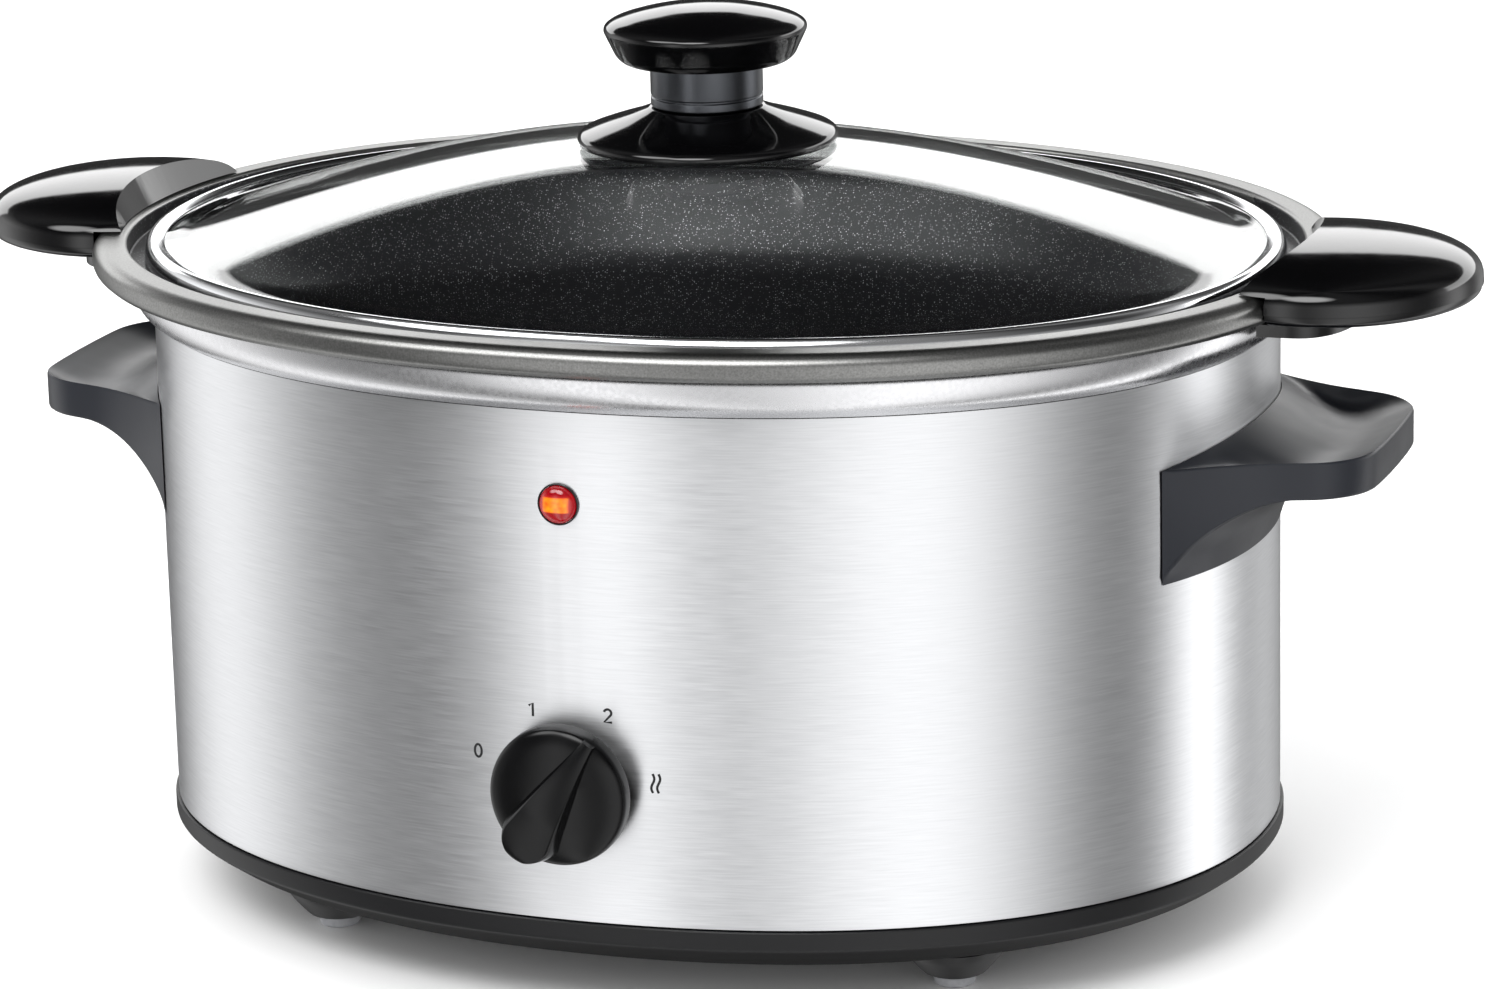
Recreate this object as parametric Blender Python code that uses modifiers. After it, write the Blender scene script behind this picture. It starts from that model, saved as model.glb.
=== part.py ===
"""An oval slow cooker with a lift-out pot and a glass lid, as separate closed solids.

The origin is on the table under the middle of the oval body. +Z is up, the control knob faces -Y and
the carrying handles point along X. Sizes are written in millimetres, and MM turns them into metres.
An offset is a distance outwards from the oval of the outer wall, so it is negative inside the wall.
"""

import math

import bmesh
import bpy
from mathutils import Matrix, Vector

MM = 0.001
GAP = 0.3

# The oval of the outer wall
WALL_LONG = 150.0
WALL_SHORT = 116.0
WALL_POWER = 2.13
OVAL_STEPS = 32

# Heights above the table
PAD_TOP_Z = 3.1
BASE_FLOOR_Z = 9.5
BAND_TOP_Z = 25.0
WALL_BOTTOM_Z = 25.5
WALL_TOP_Z = 157.4
LINER_TOP_Z = 169.0
LEDGE_Z = 176.9
GLASS_EDGE_Z = 176.2
GLASS_RISE = 26.0
FLANGE_Z = 201.5
KNOB_Z = 60.5
LAMP_Z = 134.0
GLAND_Z = 50.0
PARTING_Z = 172.6

# Sheet and wall thicknesses
WRAP_SHEET = 0.8
LINER_SHEET = 1.0
POT_WALL = 2.0
GLASS_WALL = 3.5
BASE_WALL = 2.2

# Places of the feet and of the pieces that repeat
FOOT_X = 85.0
FOOT_Y = 67.0
HANDLE_SCREW_Y = 24.0
HANDLE_SCREW_Z = 125.0
POINTER_REST = math.radians(32)
LIP = 15.5
POT_HANDLE_X = 165.0
POT_HANDLE_LONG = 40.0
POT_HANDLE_WIDE = 41.0
POT_HANDLE_FULLNESS = 0.62
POT_SCREWS = ((188.0, 12.0), (188.0, -12.0))

for old in list(bpy.data.objects):
    bpy.data.objects.remove(old)
parts = bpy.data.collections.new("slow_cooker")
helpers = bpy.data.collections.new("cutters")
bpy.context.scene.collection.children.link(parts)
bpy.context.scene.collection.children.link(helpers)
helpers.hide_render = True


# Helpers


def material(name, colour, roughness, metallic=0.0, alpha=1.0):
    mat = bpy.data.materials.new(name)
    mat.use_nodes = True
    shader = mat.node_tree.nodes["Principled BSDF"]
    shader.inputs["Base Color"].default_value = (*colour, 1.0)
    shader.inputs["Roughness"].default_value = roughness
    shader.inputs["Metallic"].default_value = metallic
    shader.inputs["Alpha"].default_value = alpha
    return mat


def add(name, bm, finish=None, smooth=35):
    """Ends a bmesh as an object: a part when it has a finish, and a cutter when it has none."""
    mesh = bpy.data.meshes.new(name)
    bm.to_mesh(mesh)
    bm.free()
    obj = bpy.data.objects.new(name, mesh)
    if finish:
        mesh.materials.append(material(name, *finish))
        parts.objects.link(obj)
    else:
        helpers.objects.link(obj)
        obj.hide_render = True
        obj.display_type = "WIRE"
    mesh.shade_smooth()
    mesh.set_sharp_from_angle(angle=math.radians(smooth))
    return obj


def boolean(obj, other, operation="DIFFERENCE"):
    step = obj.modifiers.new(other.name, "BOOLEAN")
    step.operation = operation
    step.solver = "EXACT"
    step.object = other


def applied(obj):
    """The object with its modifiers made part of its mesh."""
    bpy.context.view_layer.update()
    graph = bpy.context.evaluated_depsgraph_get()
    mesh = bpy.data.meshes.new_from_object(obj.evaluated_get(graph))
    obj.modifiers.clear()
    obj.data = mesh
    return obj


def copy(obj, name, turn):
    """A second piece of the same shape, turned about the vertical axis through the origin."""
    other = bpy.data.objects.new(name, obj.data)
    other.matrix_world = Matrix.Rotation(turn, 4, "Z") @ obj.matrix_world
    parts.objects.link(other)
    return other


def oval_point(turn, offset, z, scale=1.0):
    """A point on the wall's oval, scaled, and then pushed out along its normal by the offset."""
    across, along = math.cos(turn), math.sin(turn)
    x = WALL_LONG * math.copysign(abs(across) ** (2 / WALL_POWER), across)
    y = WALL_SHORT * math.copysign(abs(along) ** (2 / WALL_POWER), along)
    normal = oval_normal(x, y)
    return Vector((x * scale + offset * normal.x, y * scale + offset * normal.y, z)) * MM


def oval_normal(x, y):
    nx = math.copysign(abs(x / WALL_LONG) ** (WALL_POWER - 1), x) / WALL_LONG
    ny = math.copysign(abs(y / WALL_SHORT) ** (WALL_POWER - 1), y) / WALL_SHORT
    return Vector((nx, ny, 0)).normalized()


def wall_x(y):
    """How far out the wall is, along X, at this distance from the middle."""
    return WALL_LONG * (1 - abs(y / WALL_SHORT) ** WALL_POWER) ** (1 / WALL_POWER)


def oval_rings(profile, turns=None, closed=False):
    """A surface through one oval ring for each (offset, z) or (offset, z, scale) of the profile.

    Given turns, the rings stop at the first and last of them, and their ends are capped.
    """
    full = turns is None
    turns = turns or [math.tau * i / OVAL_STEPS for i in range(OVAL_STEPS)]
    bm = bmesh.new()
    rings = [[bm.verts.new(oval_point(turn, *level)) for turn in turns] for level in profile]
    pairs = list(zip(rings, rings[1:] + rings[:1]))
    steps = len(turns) if full else len(turns) - 1
    for low, high in pairs if closed else pairs[:-1]:
        for i in range(steps):
            j = (i + 1) % len(turns)
            bm.faces.new((low[i], low[j], high[j], high[i]))
    if not full:
        bm.faces.new([ring[0] for ring in reversed(rings)])
        bm.faces.new([ring[-1] for ring in rings])
    return bm, rings


def oval_sheet(name, profile, thickness, finish, fill=None):
    """A sheet or moulded wall: the open side that shows, thickened to the side that doesn't."""
    bm, rings = oval_rings(profile)
    if fill == "first":
        bm.faces.new(reversed(rings[0]))
    elif fill == "last":
        bm.faces.new(rings[-1])
    obj = add(name, bm, finish)
    shell = obj.modifiers.new("thickness", "SOLIDIFY")
    shell.thickness = thickness * MM
    shell.offset = -1
    shell.use_even_offset = True
    return obj


def oval_solid(name, *levels):
    """A solid oval plug through these (offset, z) levels, for cutting."""
    bm, rings = oval_rings(levels)
    bm.faces.new(reversed(rings[0]))
    bm.faces.new(rings[-1])
    return add(name, bm)


def turned(name, profile, finish=None, steps=24, closed=False):
    """A round piece about its own Z. The profile of (radius, z) runs down its outer side."""
    bm = bmesh.new()
    points = [bm.verts.new((r * MM, 0, z * MM)) for r, z in profile]
    ends = points[1:] + points[:1] if closed else points[1:]
    for a, b in zip(points, ends):
        bm.edges.new((a, b))
    obj = add(name, bm, finish)
    spin = obj.modifiers.new("turn", "SCREW")
    spin.steps = spin.render_steps = steps
    spin.use_merge_vertices = True
    spin.merge_threshold = 0.00005
    return obj


def rod(name, radius, low, high, finish=None, steps=24):
    return turned(name, [(0, high), (radius, high), (radius, low), (0, low)], finish, steps)


def ring(name, inner, outer, low, high, finish, steps=24):
    loop = [(inner, high), (outer, high), (outer, low), (inner, low)]
    return turned(name, loop, finish, steps, closed=True)


def aim(obj, place, direction=(0, 0, 1)):
    obj.location = Vector(place) * MM
    obj.rotation_euler = Vector(direction).to_track_quat("Z", "Y").to_euler()
    return obj


def box(name, low, high, finish=None):
    size = [(h - l) * MM for l, h in zip(low, high)]
    middle = [(h + l) / 2 * MM for l, h in zip(low, high)]
    bm = bmesh.new()
    place = Matrix.Translation(middle) @ Matrix.Diagonal((*size, 1))
    bmesh.ops.create_cube(bm, size=1, matrix=place)
    return add(name, bm, finish)


def prism(name, outline, low, high, finish=None):
    """An upright slab with this outline, counted anticlockwise from above."""
    bm = bmesh.new()
    floor = bm.faces.new([bm.verts.new((x * MM, y * MM, low * MM)) for x, y in outline])
    top = bmesh.ops.extrude_face_region(bm, geom=[floor])["geom"]
    raised = [v for v in top if isinstance(v, bmesh.types.BMVert)]
    bmesh.ops.translate(bm, verts=raised, vec=(0, 0, (high - low) * MM))
    bmesh.ops.recalc_face_normals(bm, faces=bm.faces)
    return add(name, bm, finish)


def ellipsoid(name, centre, radii, finish=None, fullness=1.0):
    """An ellipsoid, whose flanks stand up straighter the further the fullness is under 1."""
    bm = bmesh.new()
    bmesh.ops.create_uvsphere(bm, u_segments=28, v_segments=14, radius=1)
    for vert in bm.verts:
        vert.co.z = math.copysign(abs(vert.co.z) ** fullness, vert.co.z)
    place = Matrix.Translation(Vector(centre) * MM) @ Matrix.Diagonal((*(r * MM for r in radii), 1))
    bmesh.ops.transform(bm, matrix=place, verts=bm.verts)
    return add(name, bm, finish)


def arc(centre, radius, start, end, steps):
    """Points on an arc, from one angle in degrees to another."""
    angles = [math.radians(start + (end - start) * i / steps) for i in range(steps + 1)]
    return [(centre[0] + radius * math.cos(a), centre[1] + radius * math.sin(a)) for a in angles]


def wire(name, route, radius, finish):
    """An insulated wire along a smooth curve through the points of its route."""
    curve = bpy.data.curves.new(name, "CURVE")
    curve.dimensions = "3D"
    curve.bevel_depth = radius * MM
    curve.bevel_resolution = 1
    curve.use_fill_caps = True
    points = [Vector(p) * MM for p in route]
    ends = [2 * points[0] - points[1]] + points + [2 * points[-1] - points[-2]]
    smooth = []
    for a, b, c, d in zip(ends, ends[1:], ends[2:], ends[3:]):
        for t in (0.0, 0.25, 0.5, 0.75):
            pull = (c - a) * t + (2 * a - 5 * b + 4 * c - d) * t**2 + (3 * b - a - 3 * c + d) * t**3
            smooth.append(b + pull / 2)
    smooth.append(points[-1])
    spline = curve.splines.new("POLY")
    spline.points.add(len(smooth) - 1)
    for point, place in zip(spline.points, smooth):
        point.co = (*place, 1)
    curve.materials.append(material(name, *finish))
    obj = bpy.data.objects.new(name, curve)
    parts.objects.link(obj)
    return obj


# Finishes: colour, roughness, metallic and alpha

BRUSHED = ((0.62, 0.62, 0.63), 0.3, 1.0)
BRIGHT_ALUMINIUM = ((0.75, 0.75, 0.76), 0.35, 1.0)
DARK_ALUMINIUM = ((0.09, 0.09, 0.1), 0.4, 0.6)
STEEL = ((0.55, 0.55, 0.56), 0.3, 1.0)
GLOSS_BLACK = ((0.01, 0.01, 0.012), 0.12)
SATIN_BLACK = ((0.035, 0.037, 0.042), 0.38)
GREY_RUBBER = ((0.45, 0.45, 0.45), 0.8)
STEM_METAL = ((0.1, 0.1, 0.11), 0.3, 0.8)
CLEAR_GLASS = ((0.9, 0.95, 0.94), 0.02, 0.0, 0.3)
RED_PLASTIC = ((0.6, 0.02, 0.01), 0.15, 0.0, 0.7)
CERAMIC = ((0.85, 0.82, 0.75), 0.6)
MICA = ((0.55, 0.45, 0.3), 0.6)
RED_WIRE = ((0.5, 0.03, 0.02), 0.5)
BLUE_WIRE = ((0.02, 0.08, 0.4), 0.5)


# Base


def make_base():
    """The moulded tray that closes the body below, with its four foot bosses and its vents."""
    profile = [
        (-24.0, BASE_FLOOR_Z),
        (-18.0, BASE_FLOOR_Z + 0.4),
        (-8.0, 13.6),
        (0.2, 19.9),
        (0.9, 21.2),
        (0.8, BAND_TOP_Z),
        (-1.6, BAND_TOP_Z),
        (-1.6, 36.0),
    ]
    tray = oval_sheet("base_tray", profile, BASE_WALL, SATIN_BLACK, fill="first")
    for side_x in (-1, 1):
        for side_y in (-1, 1):
            place = (side_x * FOOT_X, side_y * FOOT_Y, 0)
            tag = f"{'right' if side_x > 0 else 'left'}_{'rear' if side_y > 0 else 'front'}"
            boss = [(0, 11.4), (14.0, 11.4), (13.0, 8.5), (9.0, 4.6), (8.0, PAD_TOP_Z + GAP)]
            boss += [(0, PAD_TOP_Z + GAP)]
            boolean(tray, aim(turned(f"boss_{tag}", boss, steps=16), place), "UNION")
            boolean(tray, aim(rod(f"peg_hole_{tag}", 3.4, 0, 7.6, steps=12), place))
            pad = [(0, 6.6), (3.0, 6.6), (3.0, PAD_TOP_Z), (5.4, PAD_TOP_Z), (5.4, 0.5), (4.9, 0)]
            pad += [(0, 0)]
            aim(turned(f"foot_pad_{tag}", pad, GREY_RUBBER, steps=12), place)
    for i in range(5):
        x = (i - 2) * 12.0
        boolean(tray, box(f"vent_{i}", (x - 2, 34, 5), (x + 2, 62, 15)))
    boolean(tray, rod("stud_hole", 3.2, 5, 15, steps=16))
    ring("base_washer", 2.8, 8.0, 8.0, 9.1, STEEL, steps=16)
    ring("base_nut", 3.3, 6.0, 4.4, 7.6, STEEL, steps=6)


# Outer wall


def hole(name, place, direction, radius, depth=12.0, steps=20):
    return aim(rod(name, radius, -depth / 2, depth / 2, steps=steps), place, direction)


def screw_places():
    """Where each handle screw goes through the wall: its number, place and outward direction."""
    corners = [(side_x, side_y) for side_x in (-1, 1) for side_y in (-1, 1)]
    for number, (side_x, side_y) in enumerate(corners, 1):
        x, y = wall_x(HANDLE_SCREW_Y) * side_x, HANDLE_SCREW_Y * side_y
        yield number, (x, y, HANDLE_SCREW_Z), oval_normal(x, y)


def make_wall():
    """The brushed steel band round the body, with holes for what passes through it."""
    profile = [(0, WALL_BOTTOM_Z), (0, WALL_TOP_Z)]
    wall = oval_sheet("outer_wrap", profile, WRAP_SHEET, BRUSHED)
    boolean(wall, hole("shaft_hole", (0, -WALL_SHORT, KNOB_Z), (0, -1, 0), 4.9))
    boolean(wall, hole("lamp_hole", (0, -WALL_SHORT, LAMP_Z), (0, -1, 0), 4.9))
    boolean(wall, hole("gland_hole", (0, WALL_SHORT, GLAND_Z), (0, 1, 0), 8.0))
    for number, place, outward in screw_places():
        boolean(wall, hole(f"screw_hole_{number}", place, outward, 2.3, steps=12))


# Heated liner and what is fixed to it


def make_liner():
    """The pressed bowl that the pot hangs in. Its rolled rim is the bright ring over the wall."""
    profile = [
        (0.7, 158.1),
        (3.8, 160.4),
        (5.4, 163.6),
        (5.4, 167.0),
        (3.8, LINER_TOP_Z),
        (-3.0, LINER_TOP_Z),
        (-6.5, 166.5),
        (-18.5, 149.0),
        (-20.0, 145.0),
        (-22.0, 68.0),
        (-24.5, 60.0),
        (-31.0, 54.6),
        (-38.0, 53.5),
    ]
    oval_sheet("heating_liner", profile, LINER_SHEET, BRIGHT_ALUMINIUM, fill="last")


def make_heater():
    """The flat heating element strapped round the liner, and its clamp, fuse and clip."""
    loop = [(-18.4, 75.0), (-17.2, 125.0), (-18.9, 125.0), (-20.1, 75.0)]
    bm, _ = oval_rings(loop, closed=True)
    band = add("heating_band", bm, MICA)
    boolean(band, box("band_split", (-4, 80, 70), (4, 110, 130)))
    clamp = box("band_clamp", (-7, 99.4, 96), (7, 101.2, 104), STEEL)
    boolean(clamp, hole("clamp_slot", (0, 100, 100), (0, 1, 0), 1.6, steps=12))
    aim(rod("thermal_fuse", 2.2, -7, 7, CERAMIC, steps=16), (32, -98.0, 139.6), (1, 0.22, 0))
    clip = box("fuse_clip", (29, -102.6, 142.4), (35, -95.4, 143.2), STEEL)
    boolean(clip, box("clip_tab", (29, -102.6, 136), (35, -101.9, 143.0)), "UNION")


def make_underside():
    """The stud that pulls liner, wall and base together, with the heat shield hung on it."""
    stud = [(0, 52.0), (9.0, 52.0), (9.0, 50.6), (2.5, 50.6), (2.5, 3.6), (0, 3.6)]
    turned("centre_stud", stud, STEEL, steps=16)
    shield = oval_sheet("heat_shield", [(-36, 30), (-32, 30.6), (-31, 36)], 0.6, STEEL, fill="first")
    boolean(shield, rod("shield_hole", 3.0, 25, 35, steps=16))
    ring("shield_spacer", 2.9, 5.0, 31.0, 50.2, CERAMIC, steps=16)


# Switch, knob and lamp, in the middle of the front


def make_switch():
    """The rotary switch behind the wall, held by a nut on its neck; its shaft carries the knob."""
    place, outward = (0, -WALL_SHORT, KNOB_Z), (0, -1, 0)
    body = [(4.4, 2.8), (4.4, -1.7), (13.0, -1.7), (13.0, -15.0), (0, -15.0), (0, -9.0), (3.4, -9.0)]
    aim(turned("rotary_switch", body + [(3.4, 2.8)], CERAMIC, closed=True), place, outward)
    nut = ring("switch_nut", 5.5, 8.2, 0.4, 2.5, STEEL, steps=6)
    aim(nut, place, outward)
    shaft = aim(rod("switch_shaft", 3.0, -8.6, 9.2, STEEL, steps=16), place, outward)
    return shaft, make_knob(place)


def make_knob(place):
    """The control knob: a domed disc with a wedge grip that narrows to a pointer."""
    disc = [(0, 11.6), (8, 11.2), (14, 10.2), (17.2, 8.8), (18.0, 7.6), (18.0, 3.6), (17.4, 2.9), (0, 2.9)]
    knob = turned("control_knob", disc, GLOSS_BLACK, steps=28)
    nose = [(0.0, 17.4)] + arc((0.0, -11.6), 8.0, 167, 373, 12)
    bm = bmesh.new()
    foot = bm.faces.new([bm.verts.new((x * MM, y * MM, 6.5 * MM)) for x, y in nose])
    top = bmesh.ops.extrude_face_region(bm, geom=[foot])["geom"]
    ridge = [v for v in top if isinstance(v, bmesh.types.BMVert)]
    bmesh.ops.translate(bm, verts=ridge, vec=(0, 0, 10.4 * MM))
    bmesh.ops.scale(bm, verts=ridge, vec=(0.7, 0.92, 1.0))
    bmesh.ops.recalc_face_normals(bm, faces=bm.faces)
    boolean(knob, add("grip", bm), "UNION")
    boolean(knob, rod("knob_bore", 3.3, 0, 9.8, steps=16))
    knob = applied(knob)
    knob.location = Vector(place) * MM
    knob.rotation_euler = (math.radians(90), POINTER_REST, 0)
    return knob


def make_lamp():
    """The red lens of the power light, its push-on clip and the neon lamp inside it."""
    place, outward = (0, -WALL_SHORT, LAMP_Z), (0, -1, 0)
    lens = [(0, 3.0), (2.6, 2.6), (4.4, 1.6), (5.3, 0.5), (4.5, 0.3)]
    lens += [(4.5, -5.0), (3.5, -5.0), (3.5, 0.6), (0, 1.4)]
    aim(turned("indicator_lens", lens, RED_PLASTIC), place, outward)
    aim(ring("indicator_clip", 4.8, 7.0, -2.9, -1.6, STEEL), place, outward)
    bulb = [(0, -0.2), (1.6, -1.0), (2.4, -3.0), (2.4, -12.0), (0, -12.0)]
    aim(turned("neon_lamp", bulb, CLEAR_GLASS, steps=16), place, outward)


# Mains side, at the rear


def make_mains():
    """The gland where a supply cord would enter, the terminal block and the wires between."""
    place, outward = (0, WALL_SHORT, GLAND_Z), (0, 1, 0)
    gland = [(3.6, 12.0), (5.4, 12.0), (6.4, 3.6), (10.0, 3.2), (10.4, 0.6), (7.4, 0.6), (7.4, -9.0)]
    aim(turned("cord_gland", gland + [(3.6, -9.0)], SATIN_BLACK, closed=True), place, outward)
    aim(ring("gland_nut", 7.8, 11.0, -4.8, -1.9, SATIN_BLACK), place, outward)
    block = box("terminal_block", (20, 62, 12.3), (50, 76, 24), CERAMIC)
    for i in range(3):
        bore = hole(f"terminal_{i}", (26 + 9 * i, 69, 18.5), (0, 1, 0), 2.0, 20.0, 12)
        boolean(block, bore)
    live = [(35, 60.5, 18.5), (35, 40, 20), (58, -20, 20), (52, -72, 20)]
    live += [(34, -96, 26), (21, -101, 40), (16, -101, 52)]
    wire("wire_live", live, 1.2, RED_WIRE)
    heat = [(-16, -101, 52), (-66, -92, 44), (-122, -44, 42), (-130, 20, 44), (-106, 66, 47)]
    heat += [(-72, 92, 52), (-40, 101, 60), (-13, 102, 71)]
    wire("wire_heater", heat, 1.2, RED_WIRE)
    neutral = [(26, 78, 18.5), (25, 88, 30), (20, 96.5, 48), (12, 101.5, 72)]
    wire("wire_neutral", neutral, 1.2, BLUE_WIRE)
    lamp = [(8, -103.5, 76), (14, -106.5, 95), (12, -106.8, 115), (3, -104.3, 121), (0.5, -102.2, 128)]
    wire("wire_lamp", lamp, 1.0, BLUE_WIRE)


# Carrying handles on the body


def make_side_handles():
    """A shelf handle at each end: dished above, scooped below, with its back along the wall."""
    rule = [(GAP, 136.0), (14, 135.0), (62, 133.4), (62, 124.4), (26, 125.6), (17, 124.4)]
    rule += [(10, 120.4), (5.2, 114), (2.8, 108)]
    turns = [math.radians(-36 + 4 * i) for i in range(19)]
    bm, _ = oval_rings([*reversed(rule), (GAP, 106.0)], turns, closed=True)
    bmesh.ops.recalc_face_normals(bm, faces=bm.faces)
    handle = add("side_handle_right", bm, SATIN_BLACK)
    corner = arc((165.1, 18.8), 18.6, 80, 5, 6)
    near = [(100, 84.0), (134.5, 54.5), (147, 46.0), (158, 40.2), *corner, (184.2, 0.0)]
    outline = [(x, -y) for x, y in near[:-1]] + [near[-1]] + list(reversed(near[:-1]))
    boolean(handle, prism("side_handle_plan", outline, 90, 150), "INTERSECT")
    boolean(handle, ellipsoid("side_handle_dish", (160, 0, 139), (25, 42, 8)))
    for number, place, outward in screw_places():
        if place[0] > 0:
            pilot = hole(f"pilot_{number}", place, outward, 2.3, 19.0, 12)
            boolean(handle, pilot)
    right = applied(handle)
    copy(right, "side_handle_left", math.pi)
    for number, place, outward in screw_places():
        screw = [(0, 9.0), (2.0, 9.0), (2.0, -1.8), (4.0, -1.8), (3.4, -3.9), (0, -3.9)]
        aim(turned(f"handle_screw_{number}", screw, STEEL, steps=12), place, outward)


# Pot


def make_pot():
    """The cast pot: a rolled lip, a flat ledge, the seat of the lid and a tapering bowl."""
    profile = [
        (14.0, 169.9),
        (LIP, 171.2),
        (LIP, 175.0),
        (13.4, LEDGE_Z),
        (6.8, LEDGE_Z),
        (6.2, 176.3),
        (6.2, 171.6),
        (-6.6, 171.6),
        (-9.6, 168.6),
        (-21.6, 151.2),
        (-23.6, 146.0),
        (-26.0, 70.0),
        (-28.2, 63.4),
        (-34.0, 58.3),
        (-41.0, 57.2),
    ]
    return oval_sheet("pot_shell", profile, POT_WALL, DARK_ALUMINIUM, fill="last")


def pot_handle_bracket():
    """The steel tongue welded to the pot's lip, which both halves of the handle close on."""
    bracket = box("pot_bracket_right", (159, -17, 173.6), (195, 17, 175.6), STEEL)
    boolean(bracket, oval_solid("lip_clearance", (LIP + GAP, 165), (LIP + GAP, 180)))
    for i, (x, y) in enumerate(POT_SCREWS):
        boolean(bracket, aim(rod(f"bracket_hole_{i}", 2.3, 170, 180, steps=12), (x, y, 0)))
    return applied(bracket)


def pot_handle_top():
    """The upper half: a gloss dome that reaches over the ledge to the seat of the lid."""
    radii = (POT_HANDLE_LONG, POT_HANDLE_WIDE, 12.2)
    centre = (POT_HANDLE_X, 0, PARTING_Z)
    top = ellipsoid("pot_handle_top_right", centre, radii, GLOSS_BLACK, POT_HANDLE_FULLNESS)
    boolean(top, box("below_parting", (100, -60, 140), (220, 60, PARTING_Z + GAP)))
    boolean(top, oval_solid("lid_side", (8.2, 150), (8.2, LEDGE_Z), (17.6, LEDGE_Z + 20)))
    boolean(top, oval_solid("over_ledge", (LIP + GAP, 150), (LIP + GAP, LEDGE_Z + GAP)))
    boolean(top, box("tongue_pocket", (150, -17.4, 170), (195.4, 17.4, 175.9)))
    for i, (x, y) in enumerate(POT_SCREWS):
        boolean(top, aim(rod(f"top_pilot_{i}", 2.3, 170, 180.0, steps=12), (x, y, 0)))
    return applied(top)


def pot_handle_bottom():
    """The lower half, with the heel that hangs down beside the bright ring."""
    radii = (POT_HANDLE_LONG - 0.4, POT_HANDLE_WIDE - 0.4, 5.6)
    centre = (POT_HANDLE_X, 0, PARTING_Z)
    low = ellipsoid("pot_handle_base_right", centre, radii, GLOSS_BLACK, POT_HANDLE_FULLNESS)
    boolean(low, box("above_parting", (100, -60, PARTING_Z), (220, 60, 200)))
    heel = [(140, -26), (166, -26), (172, -20), (175, -10), (175, 10), (172, 20), (166, 26), (140, 26)]
    boolean(low, prism("heel", heel, 163.6, 169.6), "UNION")
    boolean(low, oval_solid("lip_outside", (LIP + GAP, 169.3), (LIP + GAP, 180)))
    boolean(low, oval_solid("ring_outside", (6.4, 150), (6.4, 180)))
    for i, (x, y) in enumerate(POT_SCREWS):
        boolean(low, aim(rod(f"low_hole_{i}", 2.3, 160, 180, steps=12), (x, y, 0)))
        boolean(low, aim(rod(f"head_recess_{i}", 4.2, 160, 169.6, steps=12), (x, y, 0)))
    return applied(low)


def make_pot_handles():
    """Both handles of the pot, each of two halves, a tongue and two screws from below."""
    pieces = []
    for right in (pot_handle_bracket(), pot_handle_top(), pot_handle_bottom()):
        left = copy(right, right.name.replace("right", "left"), math.pi)
        pieces += [right, left]
    screw = [(0, 179.6), (2.0, 179.6), (2.0, 169.3), (3.8, 169.3), (3.8, 167.9), (0, 167.9)]
    for number, (side, (x, y)) in enumerate([(s, p) for s in (1, -1) for p in POT_SCREWS], 1):
        pieces.append(turned(f"pot_handle_screw_{number}", screw, STEEL, steps=12))
        aim(pieces[-1], (side * x, y, 0))
    return pieces


# Lid


def make_lid():
    """The domed glass in its steel rim, with the knob clamped through its middle."""
    inset = -5.0
    dome = [(0.6, GLASS_EDGE_Z), (inset, GLASS_EDGE_Z + 0.2)]
    for scale in (0.94, 0.86, 0.75, 0.62, 0.48, 0.33, 0.17, 0.027):
        rise = GLASS_RISE * (1 - scale**2) ** 1.15
        dome.append((inset * scale, GLASS_EDGE_Z + 0.2 + rise, scale))
    glass = oval_sheet("lid_glass", dome, GLASS_WALL, CLEAR_GLASS)
    channel = [
        (1.6, 172.3),
        (1.6, 176.3),
        (0.9, 177.2),
        (-3.8, 177.4),
        (-3.8, 176.9),
        (1.0, 176.7),
        (1.0, 172.4),
        (-3.8, 172.3),
        (-3.8, 171.95),
        (1.2, 171.95),
    ]
    bm, _ = oval_rings(channel, closed=True)
    rim = add("lid_rim", bm, STEEL)
    flange = [
        (14.8, 210.6),
        (16.0, 210.2),
        (20.0, 208.6),
        (28.0, 205.9),
        (33.6, 203.9),
        (34.2, 203.0),
        (33.9, FLANGE_Z),
        (32.8, FLANGE_Z),
        (18.0, 203.0),
        (2.5, 203.0),
        (2.5, 210.6),
    ]
    flange = turned("lid_flange", flange, GLOSS_BLACK, steps=24, closed=True)
    stem = ring("lid_stem", 2.5, 14.6, 210.9, 222.6, STEM_METAL)
    top = [(0, 237.4), (9, 237.0), (18, 235.4), (24.5, 233.2), (26.4, 231.9), (26.6, 231.0)]
    top += [(25.8, 229.4), (23.4, 224.2), (22.0, 222.9), (2.5, 222.9), (2.5, 229.5), (0, 229.5)]
    knob = turned("lid_knob", top, GLOSS_BLACK)
    washer = ring("lid_washer", 2.6, 9.0, 197.2, 198.5, GREY_RUBBER, steps=20)
    screw = [(0, 229.0), (2.1, 229.0), (2.1, 196.9), (5.2, 196.9), (4.4, 194.6), (0, 194.2)]
    return [glass, rim, flange, stem, knob, washer, turned("lid_screw", screw, STEEL, steps=16)]


# Joints: an empty on each axis holds the pieces that move with it


def hang(name, place, pieces, parent=None):
    """An empty on a joint's axis, with the pieces that it carries."""
    axis = bpy.data.objects.new(name, None)
    axis.location = Vector(place) * MM
    parts.objects.link(axis)
    bpy.context.view_layer.update()
    for piece in pieces:
        piece.parent = axis
        piece.matrix_parent_inverse = axis.matrix_world.inverted()
    if parent:
        axis.parent = parent
        axis.matrix_parent_inverse = parent.matrix_world.inverted()
    return axis


make_base()
make_wall()
make_liner()
make_heater()
make_underside()
hang("knob_axis", (0, -WALL_SHORT, KNOB_Z), make_switch())
make_lamp()
make_mains()
make_side_handles()
pot_lift = hang("pot_lift", (0, 0, LEDGE_Z), [make_pot(), *make_pot_handles()])
hang("lid_lift", (0, 0, GLASS_EDGE_Z), make_lid(), pot_lift)
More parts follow.
